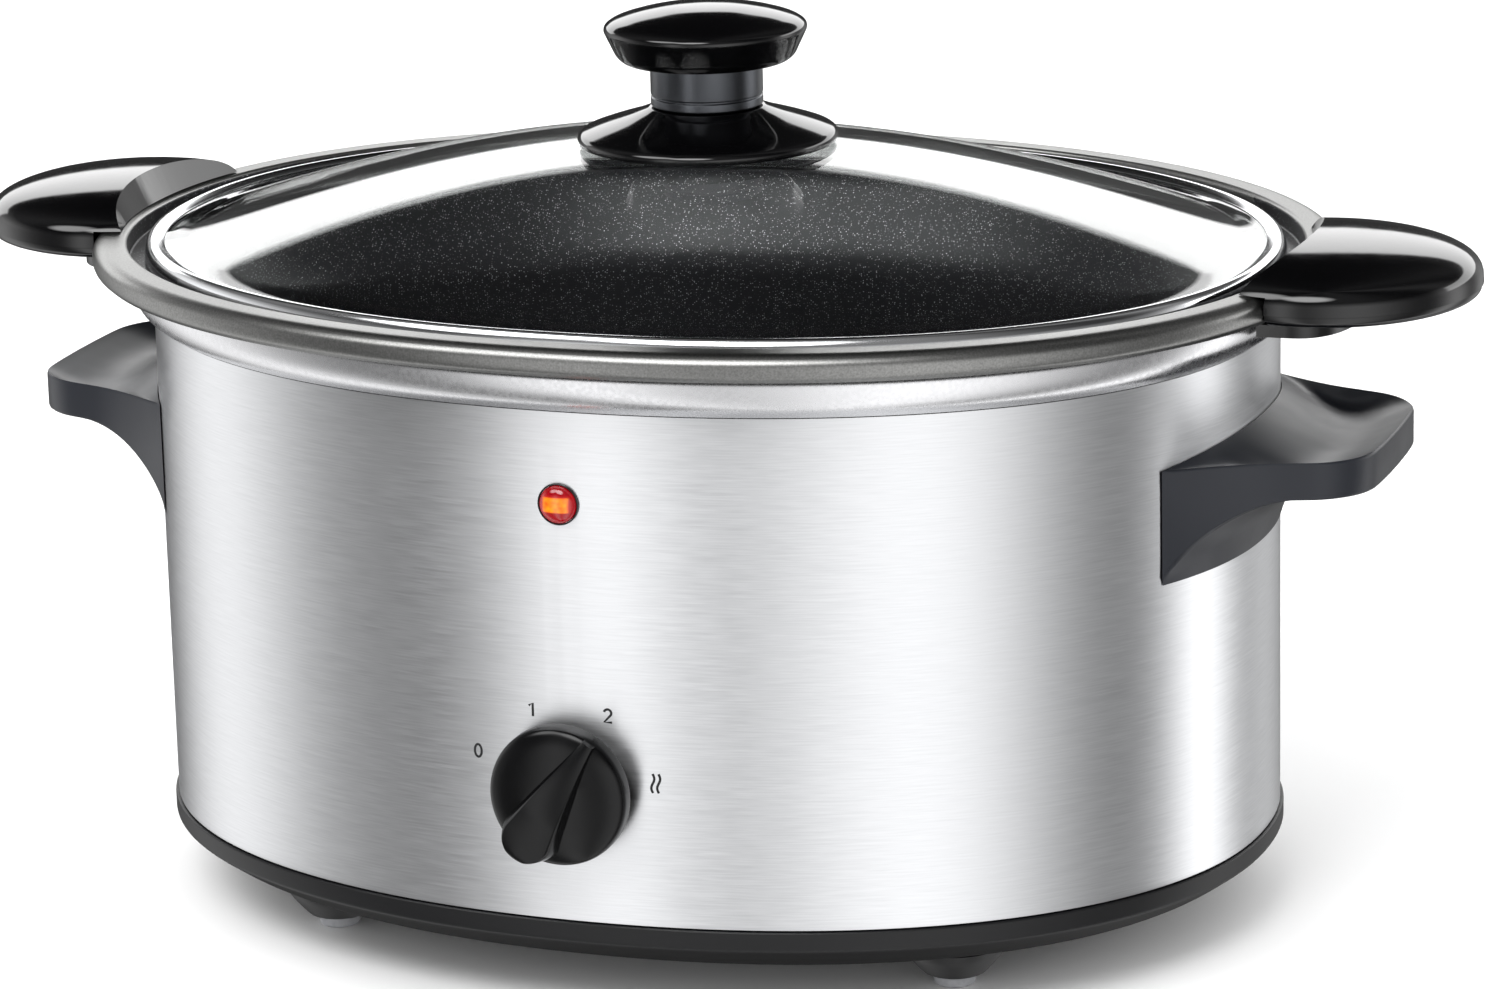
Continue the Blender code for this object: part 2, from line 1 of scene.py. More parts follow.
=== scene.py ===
"""The look of an oval slow cooker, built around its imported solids.

Lengths are in millimetres and MM turns them into metres. An offset is a distance outwards from the
oval of the outer wall. The pieces come in the order in which the cooker is put together.
"""

import math

import bmesh
import bpy
from mathutils import Euler, Matrix, Quaternion, Vector


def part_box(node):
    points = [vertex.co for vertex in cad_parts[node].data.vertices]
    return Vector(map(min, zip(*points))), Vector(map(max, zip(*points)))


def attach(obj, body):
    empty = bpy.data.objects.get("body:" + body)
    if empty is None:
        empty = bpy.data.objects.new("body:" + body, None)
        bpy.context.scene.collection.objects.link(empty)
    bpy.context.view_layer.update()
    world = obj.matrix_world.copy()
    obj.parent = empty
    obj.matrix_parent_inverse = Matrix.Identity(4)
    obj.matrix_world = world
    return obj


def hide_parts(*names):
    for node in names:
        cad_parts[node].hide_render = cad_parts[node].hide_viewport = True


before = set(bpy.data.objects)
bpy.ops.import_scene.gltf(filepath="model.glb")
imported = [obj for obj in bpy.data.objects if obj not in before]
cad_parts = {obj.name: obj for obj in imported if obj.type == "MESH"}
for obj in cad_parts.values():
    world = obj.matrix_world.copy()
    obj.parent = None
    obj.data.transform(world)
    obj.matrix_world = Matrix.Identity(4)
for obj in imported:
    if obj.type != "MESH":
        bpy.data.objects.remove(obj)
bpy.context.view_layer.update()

# Base tray. One black polypropylene moulding that closes the body from below: a band under the wall,
# a skirt that curves in, and four bosses for the feet. It is pulled up by the stud in its middle.

MM = 0.001
WALL_POWER = 2.13
OVAL_STEPS = 240
WALL_LONG, WALL_SHORT = (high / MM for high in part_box("outer_wrap")[1][:2])
WALL_BOTTOM_Z, WALL_TOP_Z = (corner.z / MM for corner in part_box("outer_wrap"))
TRAY_FLOOR_Z = 9.5
TRAY_WALL = 2.2
BAND_TOP_Z = WALL_BOTTOM_Z - 0.4
FOOT_X, FOOT_Y = 85.0, 67.0


def oval_ring(offset, z, scale=1.0):
    """One level ring on the oval, scaled, and then pushed outwards by the offset."""
    ring = []
    for step in range(OVAL_STEPS):
        across, along = math.cos(math.tau * step / OVAL_STEPS), math.sin(math.tau * step / OVAL_STEPS)
        x = WALL_LONG * math.copysign(abs(across) ** (2 / WALL_POWER), across)
        y = WALL_SHORT * math.copysign(abs(along) ** (2 / WALL_POWER), along)
        outward = oval_outward(x, y)
        ring.append(Vector((x * scale + offset * outward.x, y * scale + offset * outward.y, z)))
    return ring


def oval_outward(x, y):
    """The level direction straight out of the wall at this point of it."""
    lean_x = math.copysign(abs(x / WALL_LONG) ** (WALL_POWER - 1), x) / WALL_LONG
    lean_y = math.copysign(abs(y / WALL_SHORT) ** (WALL_POWER - 1), y) / WALL_SHORT
    return Vector((lean_x, lean_y, 0)).normalized()


def eased(outline, closed=False, steps=5):
    """Rounds each corner that has a third number, which is how far from it the rounding starts."""
    made = []
    for i, (u, v, *ease) in enumerate(outline):
        corner = Vector((u, v))
        if not ease or (not closed and i in (0, len(outline) - 1)):
            made.append(corner)
            continue
        before = Vector(outline[i - 1][:2]) - corner
        after = Vector(outline[(i + 1) % len(outline)][:2]) - corner
        start = corner + before.normalized() * min(ease[0], 0.48 * before.length)
        end = corner + after.normalized() * min(ease[0], 0.48 * after.length)
        for step in range(steps + 1):
            t = step / steps
            made.append(start * (1 - t) ** 2 + corner * 2 * t * (1 - t) + end * t**2)
    return made


def sheet(line, thickness):
    """The outline of a sheet: the side that shows, and then back along its left side, which doesn't."""
    back = []
    for i, point in enumerate(line):
        way = (line[min(i + 1, len(line) - 1)] - line[max(i - 1, 0)]).normalized()
        back.append(point + Vector((-way.y, way.x)) * thickness)
    return line + back[::-1]


def skin(name, rings, closed=False, sharp=38):
    """A smooth piece through rings of points. Its ends are capped, unless the last ring meets the first."""
    bm = bmesh.new()
    rows = [[bm.verts.new(point * MM) for point in ring] for ring in rings]
    for low, high in zip(rows, rows[1:] + rows[:1] if closed else rows[1:]):
        for i in range(len(low)):
            j = (i + 1) % len(low)
            bm.faces.new((low[i], low[j], high[j], high[i]))
    for row in [] if closed else [rows[0], rows[-1]]:
        middle = bm.verts.new(sum((vert.co for vert in row), Vector()) / len(row))
        for i in range(len(row)):
            bm.faces.new((row[i], row[(i + 1) % len(row)], middle))
    bmesh.ops.remove_doubles(bm, verts=bm.verts, dist=0.002 * MM)
    bmesh.ops.recalc_face_normals(bm, faces=bm.faces)
    mesh = bpy.data.meshes.new(name)
    bm.to_mesh(mesh)
    bm.free()
    mesh.shade_smooth()
    mesh.set_sharp_from_angle(angle=math.radians(sharp))
    piece = bpy.data.objects.new(name, mesh)
    bpy.context.scene.collection.objects.link(piece)
    return piece


def oval_piece(name, outline, closed=False):
    return skin(name, [oval_ring(u, v) for u, v in outline], closed)


def turned(name, outline, place=(0, 0, 0), outward=(0, 0, 1), closed=False, steps=72):
    """A round piece: its outline of (radius, height) turned about the outward direction."""
    turn = Vector(outward).to_track_quat("Z", "Y")
    rings = []
    for radius, height in outline:
        ring = []
        for step in range(steps):
            angle = math.tau * step / steps
            point = Vector((radius * math.cos(angle), radius * math.sin(angle), height))
            ring.append(Vector(place) + turn @ point)
        rings.append(ring)
    return skin(name, rings, closed)


def combine(piece, others, operation):
    """Joins the other pieces to this one or cuts them out of it, and then does away with them."""
    for other in others:
        step = piece.modifiers.new(operation, "BOOLEAN")
        step.operation = operation
        step.solver = "EXACT"
        step.object = other
    graph = bpy.context.evaluated_depsgraph_get()
    mesh = bpy.data.meshes.new_from_object(piece.evaluated_get(graph))
    piece.modifiers.clear()
    piece.data = mesh
    mesh.shade_smooth()
    mesh.set_sharp_from_angle(angle=math.radians(30))
    for other in others:
        bpy.data.objects.remove(other)


def linear(hex_colour):
    """An sRGB hex colour as linear red, green, blue and alpha."""
    shares = [int(hex_colour[i : i + 2], 16) / 255 for i in (1, 3, 5)]
    return [*(s / 12.92 if s <= 0.04045 else ((s + 0.055) / 1.055) ** 2.4 for s in shares), 1.0]


def node(tree, kind, inputs=None, **settings):
    """Adds a node with its settings. Each input is a plain value, or the socket that feeds it."""
    made = tree.nodes.new(kind)
    for name, value in settings.items():
        setattr(made, name, value)
    for name, value in (inputs or {}).items():
        if isinstance(value, bpy.types.NodeSocket):
            tree.links.new(value, made.inputs[name])
        else:
            made.inputs[name].default_value = value
    return made


def material(name, colour, **sockets):
    """A new material: its colour and constants, its node tree, its shader, and object coordinates."""
    made = bpy.data.materials.new(name)
    made.use_nodes = True
    shader = made.node_tree.nodes["Principled BSDF"]
    shader.inputs["Base Color"].default_value = linear(colour)
    for socket, value in sockets.items():
        shader.inputs[socket.replace("_", " ")].default_value = value
    place = made.node_tree.nodes.new("ShaderNodeTexCoord").outputs["Object"]
    return made, made.node_tree, shader, place


def fit(piece, body, slot, finish, *stands_for):
    """Gives a piece its finish, the body it moves with and the CAD nodes it stands for. The slot is not used.
    """
    piece.data.materials.clear()
    piece.data.materials.append(finish)
    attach(piece, body)
    if stands_for:
        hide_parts(*stands_for)


# Moulded polypropylene, spark-eroded tool: black, with a fine grain that breaks up its soft shine.
moulded_black, tree, shader, place = material("moulded_polypropylene", "#0e0e10", Roughness=0.42)
shader.inputs["Specular IOR Level"].default_value = 0.35
GRAIN = 0.6
grain = node(tree, "ShaderNodeTexNoise", {"Vector": place, "Scale": 1 / (GRAIN * MM), "Detail": 2.0})
relief = node(
    tree, "ShaderNodeBump", {"Height": grain.outputs["Fac"], "Strength": 0.12, "Distance": 0.02 * MM}
)
tree.links.new(relief.outputs["Normal"], shader.inputs["Normal"])

tray_line = eased(
    [
        (-24.0, TRAY_FLOOR_Z),
        (-18.0, TRAY_FLOOR_Z + 0.4, 3.0),
        (-8.0, 13.6, 6.0),
        (0.2, 19.6, 1.2),
        (0.9, 20.4, 0.6),
        (0.9, BAND_TOP_Z, 0.5),
        (-1.6, BAND_TOP_Z, 0.3),
        (-1.6, 36.0),
    ]
)
base_tray = oval_piece("base_tray_moulding", sheet(tray_line, TRAY_WALL))
boss_outline = eased([(0, 11.4), (14.0, 11.4), (12.6, 8.6, 1.6), (9.2, 4.6, 1.2), (8.0, 3.4, 0.4), (0, 3.4)])
feet = [(side_x * FOOT_X, side_y * FOOT_Y, 0) for side_x in (-1, 1) for side_y in (-1, 1)]
combine(base_tray, [turned("boss", boss_outline, foot) for foot in feet], "UNION")
peg_holes = [turned("peg_hole", [(0, 0), (3.3, 0), (3.3, 7.4), (0, 7.4)], foot, steps=32) for foot in feet]
combine(base_tray, peg_holes, "DIFFERENCE")
fit(base_tray, "cooker_body", "satin_black", moulded_black, "base_tray")


# Foot pads. Four grey rubber buttons, moulded with a peg that snaps up into the hole of each boss.

# Moulded rubber: dusty, light grey and without any shine.
grey_rubber, tree, shader, place = material("moulded_rubber", "#a3a4a8", Roughness=0.7)
BLOOM = 1.5
bloom = node(tree, "ShaderNodeTexNoise", {"Vector": place, "Scale": 1 / (BLOOM * MM), "Detail": 3.0})
dusty = node(
    tree,
    "ShaderNodeMix",
    {"Factor": bloom.outputs["Fac"], "A": linear("#94959a"), "B": linear("#b4b5b8")},
    data_type="RGBA",
)
tree.links.new(dusty.outputs["Result"], shader.inputs["Base Color"])

pad_outline = eased([(0, 6.6), (3.0, 6.6, 0.5), (3.0, 3.1), (5.4, 3.1, 0.3), (5.4, 0, 1.0), (0, 0)])
for corner, foot in zip(("left_front", "left_rear", "right_front", "right_rear"), feet):
    pad = turned(f"rubber_foot_{corner}", pad_outline, foot, steps=48)
    fit(pad, "cooker_body", "grey_rubber", grey_rubber, f"foot_pad_{corner}")


# Outer wall. A strip of stainless steel, brushed lengthwise, bent to the oval and locked at the back.
# The liner hooks over its top edge and the base tray is drawn up against its bottom edge.

WRAP_SHEET = 0.8
KNOB_Z = (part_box("switch_shaft")[0].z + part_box("switch_shaft")[1].z) / 2 / MM
LAMP_Z = (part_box("indicator_lens")[0].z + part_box("indicator_lens")[1].z) / 2 / MM
GLAND_Z = (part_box("cord_gland")[0].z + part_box("cord_gland")[1].z) / 2 / MM
FRONT, REAR = Vector((0, -1, 0)), Vector((0, 1, 0))

# Brushed stainless steel: short level scratches pull each light out into a tall, soft-edged band.
# Real scratches are finer than 0.1 mm, so they are drawn 0.4 mm high to show.
brushed_steel, tree, shader, place = material(
    "brushed_stainless_steel",
    "#d9dadc",
    Metallic=1.0,
    Roughness=0.34,
    Anisotropic=0.78,
    Anisotropic_Rotation=0.25,
)
SCRATCH_LONG, SCRATCH_HIGH = 10.0, 0.4
spread = Vector((1 / SCRATCH_LONG, 1 / SCRATCH_LONG, 1 / SCRATCH_HIGH)) / MM
stretch = node(tree, "ShaderNodeVectorMath", {0: place, 1: spread}, operation="MULTIPLY")
scratches = node(
    tree, "ShaderNodeTexNoise", {"Vector": stretch.outputs["Vector"], "Scale": 1.0, "Detail": 5.0}
)
worn = node(
    tree,
    "ShaderNodeMapRange",
    {"Value": scratches.outputs["Fac"], "From Min": 0.3, "From Max": 0.7, "To Min": 0.31, "To Max": 0.37},
)
tree.links.new(worn.outputs["Result"], shader.inputs["Roughness"])
streaks = node(
    tree,
    "ShaderNodeMix",
    {"Factor": scratches.outputs["Fac"], "A": linear("#cbccce"), "B": linear("#e9eaec")},
    data_type="RGBA",
)
tree.links.new(streaks.outputs["Result"], shader.inputs["Base Color"])
relief = node(
    tree, "ShaderNodeBump", {"Height": scratches.outputs["Fac"], "Strength": 0.1, "Distance": 0.001 * MM}
)
tree.links.new(relief.outputs["Normal"], shader.inputs["Normal"])
around = node(tree, "ShaderNodeTangent", direction_type="RADIAL", axis="Z")
tree.links.new(around.outputs["Tangent"], shader.inputs["Tangent"])

wall_line = [Vector((0, WALL_BOTTOM_Z)), Vector((0, WALL_TOP_Z))]
outer_wall = oval_piece("outer_wall_sheet", sheet(wall_line, WRAP_SHEET), closed=True)
holes = []
for radius, z, outward in ((4.9, KNOB_Z, FRONT), (4.9, LAMP_Z, FRONT), (8.0, GLAND_Z, REAR)):
    on_wall = outward * WALL_SHORT + Vector((0, 0, z))
    holes.append(turned("hole", [(0, -6), (radius, -6), (radius, 6), (0, 6)], on_wall, outward, steps=40))
combine(outer_wall, holes, "DIFFERENCE")
fit(outer_wall, "cooker_body", "brushed_steel", brushed_steel, "outer_wrap")


# Heated liner. A bowl pressed from aluminium sheet, whose rolled rim sits on the wall as a bright
# shoulder. The pot hangs inside it, and the heating band is strapped round it.

LINER_TOP_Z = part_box("heating_liner")[1].z / MM
LINER_SHEET = 1.0

# Satin aluminium, polished and then etched: pale, with a faint mottle under its soft shine.
satin_aluminium, tree, shader, place = material(
    "satin_pressed_aluminium", "#dcdcde", Metallic=1.0, Roughness=0.27
)
MOTTLE = 1.1
mottle = node(tree, "ShaderNodeTexNoise", {"Vector": place, "Scale": 1 / (MOTTLE * MM), "Detail": 4.0})
uneven = node(
    tree,
    "ShaderNodeMapRange",
    {"Value": mottle.outputs["Fac"], "From Min": 0.35, "From Max": 0.65, "To Min": 0.23, "To Max": 0.31},
)
tree.links.new(uneven.outputs["Result"], shader.inputs["Roughness"])
relief = node(
    tree, "ShaderNodeBump", {"Height": mottle.outputs["Fac"], "Strength": 0.06, "Distance": 0.01 * MM}
)
tree.links.new(relief.outputs["Normal"], shader.inputs["Normal"])

liner_line = eased(
    [
        (0.6, WALL_TOP_Z + 0.4),
        (3.6, 159.9, 2.6),
        (5.4, 163.4, 3.0),
        (5.4, 167.4, 1.6),
        (3.6, LINER_TOP_Z, 1.4),
        (-3.0, LINER_TOP_Z, 1.2),
        (-6.5, 166.5, 2.0),
        (-18.5, 149.0, 4.0),
        (-20.0, 145.0, 4.0),
        (-22.0, 68.0, 10.0),
        (-24.5, 60.0, 8.0),
        (-31.0, 54.6, 8.0),
        (-38.0, 53.5),
    ]
)
liner = oval_piece("pressed_liner", sheet(liner_line[::-1], -LINER_SHEET))
fit(liner, "cooker_body", "satin_aluminium", satin_aluminium, "heating_liner")


# Hidden pieces of the body: the heating band with its clamp and fuse, the stud, spacer and shield
# under the liner, the switch, the lamp and the mains wiring. They keep their own solids.

# Rolled and zinc-plated steel: a grey metal with a faint spangle.
zinc_steel, tree, shader, place = material("zinc_plated_steel", "#b9bbbd", Metallic=1.0, Roughness=0.35)
SPANGLE = 3.0
spangle = node(tree, "ShaderNodeTexVoronoi", {"Vector": place, "Scale": 1 / (SPANGLE * MM)})
uneven = node(
    tree, "ShaderNodeMapRange", {"Value": spangle.outputs["Distance"], "To Min": 0.25, "To Max": 0.45}
)
tree.links.new(uneven.outputs["Result"], shader.inputs["Roughness"])

# Fired ceramic: off-white, dry and slightly speckled.
fired_ceramic, tree, shader, place = material("fired_ceramic", "#e6dfcf", Roughness=0.6)
SPECK = 0.8
speck = node(tree, "ShaderNodeTexNoise", {"Vector": place, "Scale": 1 / (SPECK * MM), "Detail": 3.0})
dry = node(
    tree,
    "ShaderNodeMix",
    {"Factor": speck.outputs["Fac"], "A": linear("#d8cfba"), "B": linear("#f0ebdf")},
    data_type="RGBA",
)
tree.links.new(dry.outputs["Result"], shader.inputs["Base Color"])

# Pressed mica: brown, in thin flakes that catch the light unevenly.
pressed_mica, tree, shader, place = material("pressed_mica", "#9a8258", Roughness=0.5)
FLAKE = 4.0
flakes = node(tree, "ShaderNodeTexVoronoi", {"Vector": place, "Scale": 1 / (FLAKE * MM)})
browns = node(
    tree,
    "ShaderNodeMix",
    {"Factor": flakes.outputs["Distance"], "A": linear("#b39a6b"), "B": linear("#7b6540")},
    data_type="RGBA",
)
tree.links.new(browns.outputs["Result"], shader.inputs["Base Color"])

# Extruded silicone insulation, red for live and blue for neutral: soft, with a slight waviness.
silicones = {}
for name, colour in (("red", "#b01a18"), ("blue", "#1c4fa8")):
    silicones[name], tree, shader, place = material(f"{name}_silicone_insulation", colour, Roughness=0.5)
    WAVE = 2.0
    wave = node(tree, "ShaderNodeTexNoise", {"Vector": place, "Scale": 1 / (WAVE * MM)})
    relief = node(
        tree, "ShaderNodeBump", {"Height": wave.outputs["Fac"], "Strength": 0.2, "Distance": 0.1 * MM}
    )
    tree.links.new(relief.outputs["Normal"], shader.inputs["Normal"])

# Blown glass of the small lamp: clear, with no pattern that the eye could find at this size.
lamp_glass, tree, shader, place = material(
    "blown_lamp_glass", "#fff2e4", Roughness=0.05, Transmission_Weight=1.0, IOR=1.5
)

hidden = {
    zinc_steel: "band_clamp fuse_clip centre_stud base_washer base_nut heat_shield indicator_clip switch_nut",
    fired_ceramic: "thermal_fuse shield_spacer rotary_switch terminal_block",
    pressed_mica: "heating_band",
    silicones["red"]: "wire_live wire_heater",
    silicones["blue"]: "wire_neutral wire_lamp",
    lamp_glass: "neon_lamp",
    moulded_black: "gland_nut",
}
hidden[zinc_steel] += " switch_shaft handle_screw_1 handle_screw_2 handle_screw_3 handle_screw_4 lid_screw"
for finish, names in hidden.items():
    for name in names.split():
        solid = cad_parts[name]
        solid.data.materials.clear()
        solid.data.materials.append(finish)


# Carrying handles. Two shelf handles moulded in charcoal phenolic resin, each screwed on from inside
# the wall. The top is dished for the thumbs and the underside is scooped out for the fingers.

HANDLE_TIP_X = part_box("side_handle_right")[1].x / MM
HANDLE_RIM_Z = 134.6
HANDLE_BAND = 9.6
HANDLE_FOOT_Z = 105.0
HANDLE_CORNER_Y = 53.0
HANDLE_STATIONS = 96

# Compression-moulded phenolic resin, satin: charcoal with a slight blue cast and a soft, broad shine.
charcoal_resin, tree, shader, place = material("charcoal_phenolic_resin", "#202228", Roughness=0.34)
shader.inputs["Specular IOR Level"].default_value = 0.3
FLOW = 14.0
flow = node(tree, "ShaderNodeTexNoise", {"Vector": place, "Scale": 1 / (FLOW * MM), "Detail": 3.0})
uneven = node(
    tree, "ShaderNodeMapRange", {"Value": flow.outputs["Fac"], "To Min": 0.28, "To Max": 0.42}
)
tree.links.new(uneven.outputs["Result"], shader.inputs["Roughness"])
grain = node(tree, "ShaderNodeTexNoise", {"Vector": place, "Scale": 1 / (GRAIN * MM), "Detail": 2.0})
relief = node(
    tree, "ShaderNodeBump", {"Height": grain.outputs["Fac"], "Strength": 0.1, "Distance": 0.02 * MM}
)
tree.links.new(relief.outputs["Normal"], shader.inputs["Normal"])


def wall_x(y):
    """How far out along X the wall is at this distance from the middle."""
    return WALL_LONG * (1 - abs(y / WALL_SHORT) ** WALL_POWER) ** (1 / WALL_POWER)


def handle_plan(steps):
    """The free edge of a handle seen from above, from its front corner on the wall to its rear one."""
    corner = Vector((165.1, 18.8))
    near = [Vector((wall_x(HANDLE_CORNER_Y) + 0.4, HANDLE_CORNER_Y)), Vector((147, 46)), Vector((158, 40.2))]
    near += [corner + Vector((math.cos(a), math.sin(a))) * 18.6 for a in map(math.radians, range(80, 4, -15))]
    near += [Vector((HANDLE_TIP_X, 0))]
    whole = [Vector((p.x, -p.y)) for p in near] + near[-2::-1]
    for _ in range(3):
        middles = [(a * 3 + b) / 4 for a, b in zip(whole, whole[1:])]
        ends = [(a + b * 3) / 4 for a, b in zip(whole, whole[1:])]
        whole = [whole[0]] + [p for pair in zip(middles, ends) for p in pair] + [whole[-1]]
    lengths = [0.0]
    for a, b in zip(whole, whole[1:]):
        lengths.append(lengths[-1] + (b - a).length)
    plan = []
    for step in range(steps + 1):
        along = lengths[-1] * step / steps
        i = max(k for k, length in enumerate(lengths[:-1]) if length <= along)
        share = (along - lengths[i]) / (lengths[i + 1] - lengths[i])
        plan.append(whole[i].lerp(whole[i + 1], share))
    return plan


def handle_underside(reach):
    """The height of the scooped underside at this distance out from the wall."""
    if reach < 26:
        return HANDLE_FOOT_Z + 20.2 * math.sin(math.pi / 2 * min(1, (reach / 26) ** 0.62))
    return HANDLE_FOOT_Z + 20.2 - (reach - 26) * 0.03


handle_rings = []
for spot in handle_plan(HANDLE_STATIONS):
    wall_y = spot.y * 0.995
    root = Vector((wall_x(wall_y) + 0.3, wall_y))
    span = spot - root
    reach = span.length
    joint_z = 138.4 - 3.8 * (wall_y / HANDLE_CORNER_Y) ** 2
    dish = 5.4 * min(1, reach / 34) ** 1.4
    ring = []
    for step in range(15):
        t = step / 14 * (1 - 1.2 / max(reach, 3))
        z = joint_z + (HANDLE_RIM_Z - joint_z) * t - dish * math.sin(math.pi * t) ** 1.2
        ring.append((root + span * t, z))
    edge_z = HANDLE_RIM_Z
    under_z = min(handle_underside(reach), edge_z - HANDLE_BAND)
    inward = span.normalized() if reach > 0.5 else Vector((0, 1))
    for back, drop in ((0.6, -0.02), (0.18, 0.25), (0.0, 0.8)):
        ring.append((spot - inward * min(back, reach / 3), edge_z - drop))
    for back, lift in ((0.0, 0.8), (0.18, 0.25), (0.6, 0.0)):
        ring.append((spot - inward * min(back, reach / 3), under_z + lift))
    for step in range(13, -1, -1):
        t = step / 14 * (1 - 1.2 / max(reach, 3))
        ring.append((root + span * t, min(handle_underside(reach * t), edge_z - HANDLE_BAND)))
    handle_rings.append([Vector((point.x, point.y, z)) for point, z in ring])
for side, turn in (("right", 0.0), ("left", math.pi)):
    spin = Matrix.Rotation(turn, 3, "Z")
    handle = skin(f"carry_handle_{side}", [[spin @ p for p in ring] for ring in handle_rings], sharp=42)
    fit(handle, "cooker_body", "satin_black", charcoal_resin, f"side_handle_{side}")


# Dial marks. Dark ink printed on the wall round the knob: off, two heats and a keep-warm sign.

INK_WIDE, INK_PROUD = 0.62, 0.04

# Printed epoxy ink: nearly black and matt, a shade thinner in random patches.
printed_ink, tree, shader, place = material("printed_epoxy_ink", "#1b1b1d", Roughness=0.6)
THIN = 0.7
thin = node(tree, "ShaderNodeTexNoise", {"Vector": place, "Scale": 1 / (THIN * MM)})
patchy = node(
    tree,
    "ShaderNodeMix",
    {"Factor": thin.outputs["Fac"], "A": linear("#0c0c0e"), "B": linear("#1c1c1f")},
    data_type="RGBA",
)
tree.links.new(patchy.outputs["Result"], shader.inputs["Base Color"])


def bow(centre, wide, high, start, end, steps=20):
    """Points on part of an ellipse, from one angle in degrees to another."""
    angles = [math.radians(start + (end - start) * i / steps) for i in range(steps + 1)]
    return [(centre[0] + wide * math.cos(a), centre[1] + high * math.sin(a)) for a in angles]


def wave(x):
    return [(x + 0.42 * math.sin(math.pi * (i / 6 - 1)), -2.5 + 5 * i / 12) for i in range(13)]


marks = {
    "off": ((-24.2, 67.9), [bow((0, 0), 0.95, 1.65, 0, 360)]),
    "heat_1": ((-9.1, 80.2), [[(-0.7, 1.0), (0.35, 1.7), (0.35, -1.7)]]),
    "heat_2": (
        (11.1, 80.1),
        [bow((0, 0.75), 0.95, 0.95, 165, -30) + [(-0.95, -1.65), (1.1, -1.65)]],
    ),
    "keep_warm": ((23.0, 63.2), [wave(-0.75), wave(0.75)]),
}
for mark, ((mark_x, mark_z), strokes) in marks.items():
    for number, stroke in enumerate(strokes, 1):
        path = [Vector((mark_x + x, 0, mark_z + z)) for x, z in stroke]
        looped = (path[0] - path[-1]).length < 0.01
        rings = []
        for i, point in enumerate(path[:-1] if looped else path):
            ahead = path[(i + 1) % (len(path) - 1)] if looped else path[min(i + 1, len(path) - 1)]
            behind = path[(i - 1) % (len(path) - 1)] if looped else path[max(i - 1, 0)]
            way = (ahead - behind).normalized()
            side = Vector((way.z, 0, -way.x)) * INK_WIDE / 2
            wall_y = -WALL_SHORT * (1 - abs(point.x / WALL_LONG) ** WALL_POWER) ** (1 / WALL_POWER)
            ring = []
            for edge, proud in ((side, INK_PROUD), (-side, INK_PROUD), (-side, -0.1), (side, -0.1)):
                ring.append(point + edge + Vector((0, wall_y - proud, 0)))
            rings.append(ring)
        stroke_piece = skin(f"mark_{mark}_{number}", rings, closed=looped)
        fit(stroke_piece, "cooker_body", "satin_black", printed_ink)


# Control knob. Black phenolic resin: a domed disc with a tapered grip across it that ends in the
# pointer. It is pushed onto the flat of the switch shaft.

KNOB_PLACE = Vector((0, -WALL_SHORT, KNOB_Z))
POINTER_TURN = math.radians(32)
GRIP_TOP = 16.6

# Compression-moulded phenolic resin, polished tool: deep black with sharp, clean reflections.
gloss_resin, tree, shader, place = material("gloss_black_phenolic", "#060607", Roughness=0.07)
PEEL = 5.0
peel = node(tree, "ShaderNodeTexNoise", {"Vector": place, "Scale": 1 / (PEEL * MM), "Detail": 1.0})
uneven = node(
    tree, "ShaderNodeMapRange", {"Value": peel.outputs["Fac"], "To Min": 0.04, "To Max": 0.1}
)
tree.links.new(uneven.outputs["Result"], shader.inputs["Roughness"])
relief = node(tree, "ShaderNodeBump", {"Height": peel.outputs["Fac"], "Strength": 0.06, "Distance": 0.1 * MM})
tree.links.new(relief.outputs["Normal"], shader.inputs["Normal"])

# The same resin from a duller tool, for the control knob: its reflections are dimmer and softer.
knob_resin, tree, shader, place = material("semi_gloss_phenolic", "#060607", Roughness=0.2)
shader.inputs["Specular IOR Level"].default_value = 0.25
peel = node(tree, "ShaderNodeTexNoise", {"Vector": place, "Scale": 1 / (PEEL * MM), "Detail": 1.0})
uneven = node(
    tree, "ShaderNodeMapRange", {"Value": peel.outputs["Fac"], "To Min": 0.16, "To Max": 0.24}
)
tree.links.new(uneven.outputs["Result"], shader.inputs["Roughness"])

disc = eased(
    [
        (0, 11.6),
        (8, 11.2),
        (14, 10.2, 3.0),
        (17.4, 8.6, 1.2),
        (18.0, 7.2, 0.8),
        (18.0, 3.6, 0.6),
        (17.2, 2.9),
        (0, 2.9),
    ]
)
control_knob = turned("control_knob_moulding", disc, steps=128)


def grip_rings():
    """Cross-sections from the rounded nose of the grip to its narrow tip, each with a soft crown."""
    nose_y, nose_radius, tip_y, tip_half = -10.6, 6.3, 17.6, 1.5
    stations = []
    for i in range(1, 17):
        angle = math.pi / 2 * i / 16
        stations.append((nose_y - nose_radius * math.cos(angle), nose_radius * math.sin(angle)))
    for i in range(1, 33):
        t = i / 32
        stations.append((nose_y + (tip_y - nose_y) * t, nose_radius + (tip_half - nose_radius) * t))
    rings = []
    for y, half in stations:
        top = GRIP_TOP - 6.2 * max(0.0, (y + 4) / 21.6) ** 1.6
        if y < nose_y:
            top -= 1.6 * (1 - half / nose_radius) ** 4
        section = [(1.3, 5.0), (1.18, 3.6), (1.06, 1.5), (1.0, 0.6), (0.94, 0.3), (0.6, 0.1), (0.0, 0.0)]
        right = [Vector((half * wide, y, top - drop)) for wide, drop in section]
        right[0].z = 6.0
        right[1].z = max(6.4, right[1].z)
        rings.append(right + [Vector((-p.x, p.y, p.z)) for p in reversed(right[:-1])])
    return rings


